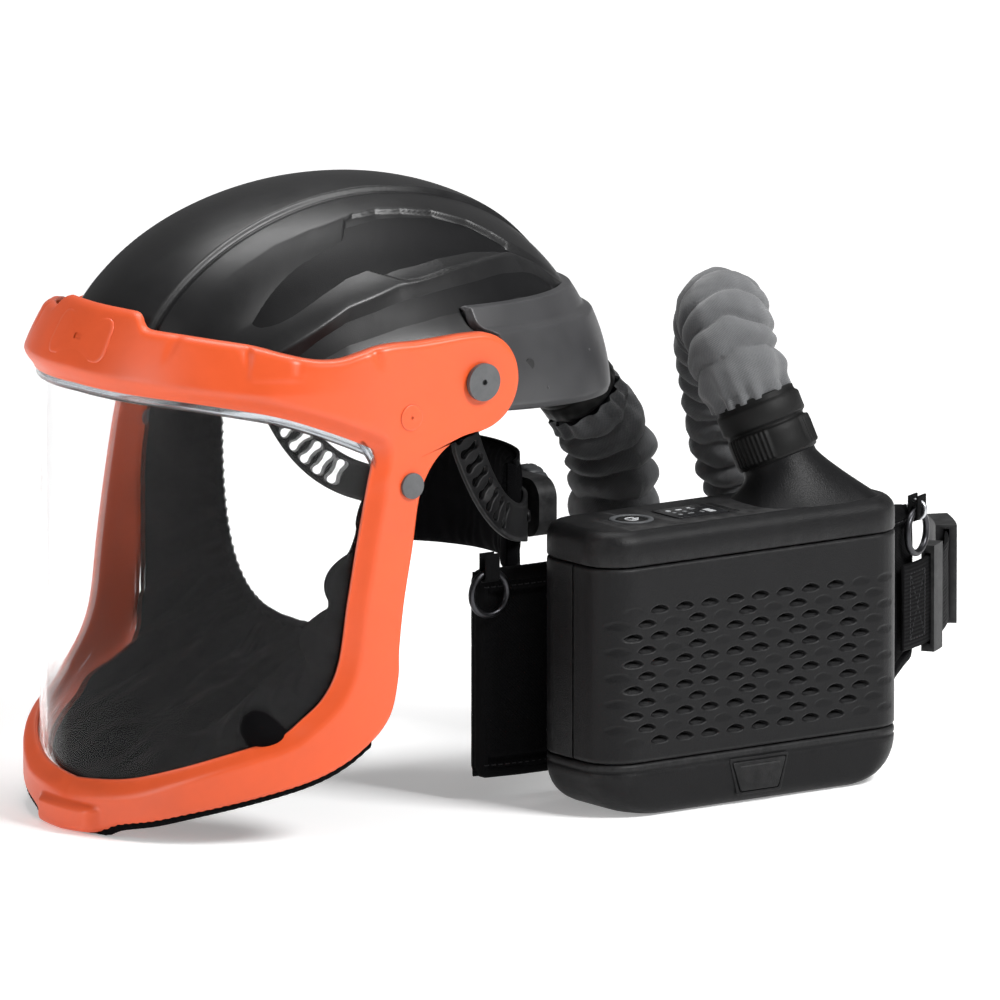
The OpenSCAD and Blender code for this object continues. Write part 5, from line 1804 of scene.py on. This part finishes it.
def small_ring(name, centre, normal, r, wire, material):
    n = Vector(normal).normalized()
    turn = np.array(n.to_track_quat("Z", "Y").to_matrix())
    a = np.linspace(0, 2 * np.pi, 64, endpoint=False)
    line = np.stack([r * np.cos(a), r * np.sin(a), 0 * a], 1) @ turn.T + np.array(centre)
    return tube(name, line, wire, material, 12, closed=True, side=tuple(n))


front_ring = small_ring("front_ring", ring_at, (1, 0, 0), 11, 1.75, dark_steel_mat)
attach(front_ring, "respirator")
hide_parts("belt_ring")
far_ring = joined("far_ring",
                  [small_ring("far_ring_a", far_c, far_n, 11, 1.75, dark_steel_mat),
                   small_ring("far_ring_b", far_c + np.array([0, 0, 11.5]), (-far_n[1], far_n[0], 0), 4.6,
                              1.2, steel_mat)])
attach(far_ring, "respirator")
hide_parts("strap_ring")

bracket_ribs = []
for z in (-180, -168, -156, -144, -132):
    bracket_ribs.append(tube("rib", [(84.4, 101, z), (84.4, 148, z), (84.4, 195, z)], 1.1, black_mat, 10,
                             squash=(1, 1)))
ribs = joined("bracket_ribs", bracket_ribs)
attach(ribs, "respirator")

# ---------------------------------------------------------------- carried-over CAD parts

lens_stud_mat = plastic("stud_grey", (0.085, 0.087, 0.09), 0.38, grain=0.12, grain_mm=0.4)
board_mat = plastic("board_green", (0.015, 0.10, 0.05), 0.35, grain=0.4, grain_mm=1.5)
cell_mat = plastic("cell_wrap", (0.03, 0.12, 0.36), 0.3, grain=0.05, grain_mm=1.0)
media_mat = woven("filter_media", (0.78, 0.76, 0.70), 0.7, 0.95, "plain", 0.4, 0.05, 0.1, uv=False)
NODE_LOOKS = {
    black_mat: "brow_trim air_duct hose_port shell_screws",
    harness_mat: "headband crown_strap cross_strap ratchet_housing strap_slider buckle",
    lens_stud_mat: "lens_studs hinge_pin_left hinge_pin_right band_rings belt_rivets",
    steel_mat: "hinge_washers ratchet_pinion fan_motor blower_screws",
    blower_mat: "inlet_plate fan_scroll belt_bracket",
    rubber_mat: "filter_gasket", fan_mat: "impeller", board_mat: "circuit_board", cell_mat: "battery_cells",
    gold_mat: "battery_contacts", media_mat: "filter_cartridge prefilter",
}
LOOK_OF = {name: look for look, names in NODE_LOOKS.items() for name in names.split()}
SOFT_EDGE = {"headband": 0.6, "crown_strap": 0.6, "cross_strap": 0.6, "ratchet_housing": 1.2,
             "strap_slider": 0.7, "buckle": 0.9, "belt_bracket": 0.9, "lens_studs": 0.45,
             "hinge_pin_left": 0.5, "hinge_pin_right": 0.5, "belt_rivets": 0.4, "brow_trim": 0.5,
             "shell_screws": 0.3, "blower_screws": 0.3, "inlet_plate": 0.5, "fan_scroll": 0.6}
for name, node in NODES.items():
    for place_ in node.material_slots:
        place_.material = LOOK_OF.get(name, black_mat)
    if name in SOFT_EDGE:
        modify(node, "BEVEL", width=SOFT_EDGE[name] * MM, segments=3, limit_method="ANGLE",
               angle_limit=math.radians(35))

# ---------------------------------------------------------------- floor and finish


def make_floor():
    bpy.ops.mesh.primitive_plane_add(size=8, location=(0, 0, FLOOR * MM - 0.0004))
    floor = bpy.context.object
    floor.name = "floor"
    paper = Paint("floor_paper", (0.93, 0.93, 0.93), 0.9, Emission_Strength=0.3)
    paper.b.inputs["Emission Color"].default_value = (1, 1, 1, 1)
    paper.set("Base Color", paper.mix(paper.noise(3.0), (0.925, 0.925, 0.925), (0.935, 0.935, 0.935)))
    # the paper's far part lights itself more, as a sweep lit from behind does
    far = paper.node("ShaderNodeVectorMath", paper.node("ShaderNodeTexCoord").outputs["Object"])
    far.operation = "LENGTH"
    glow = paper.span(far.outputs["Value"], 0.7, 2.4, 0.3, 1.0)
    paper.set("Emission Strength", glow)
    floor.data.materials.append(paper.m)


make_floor()
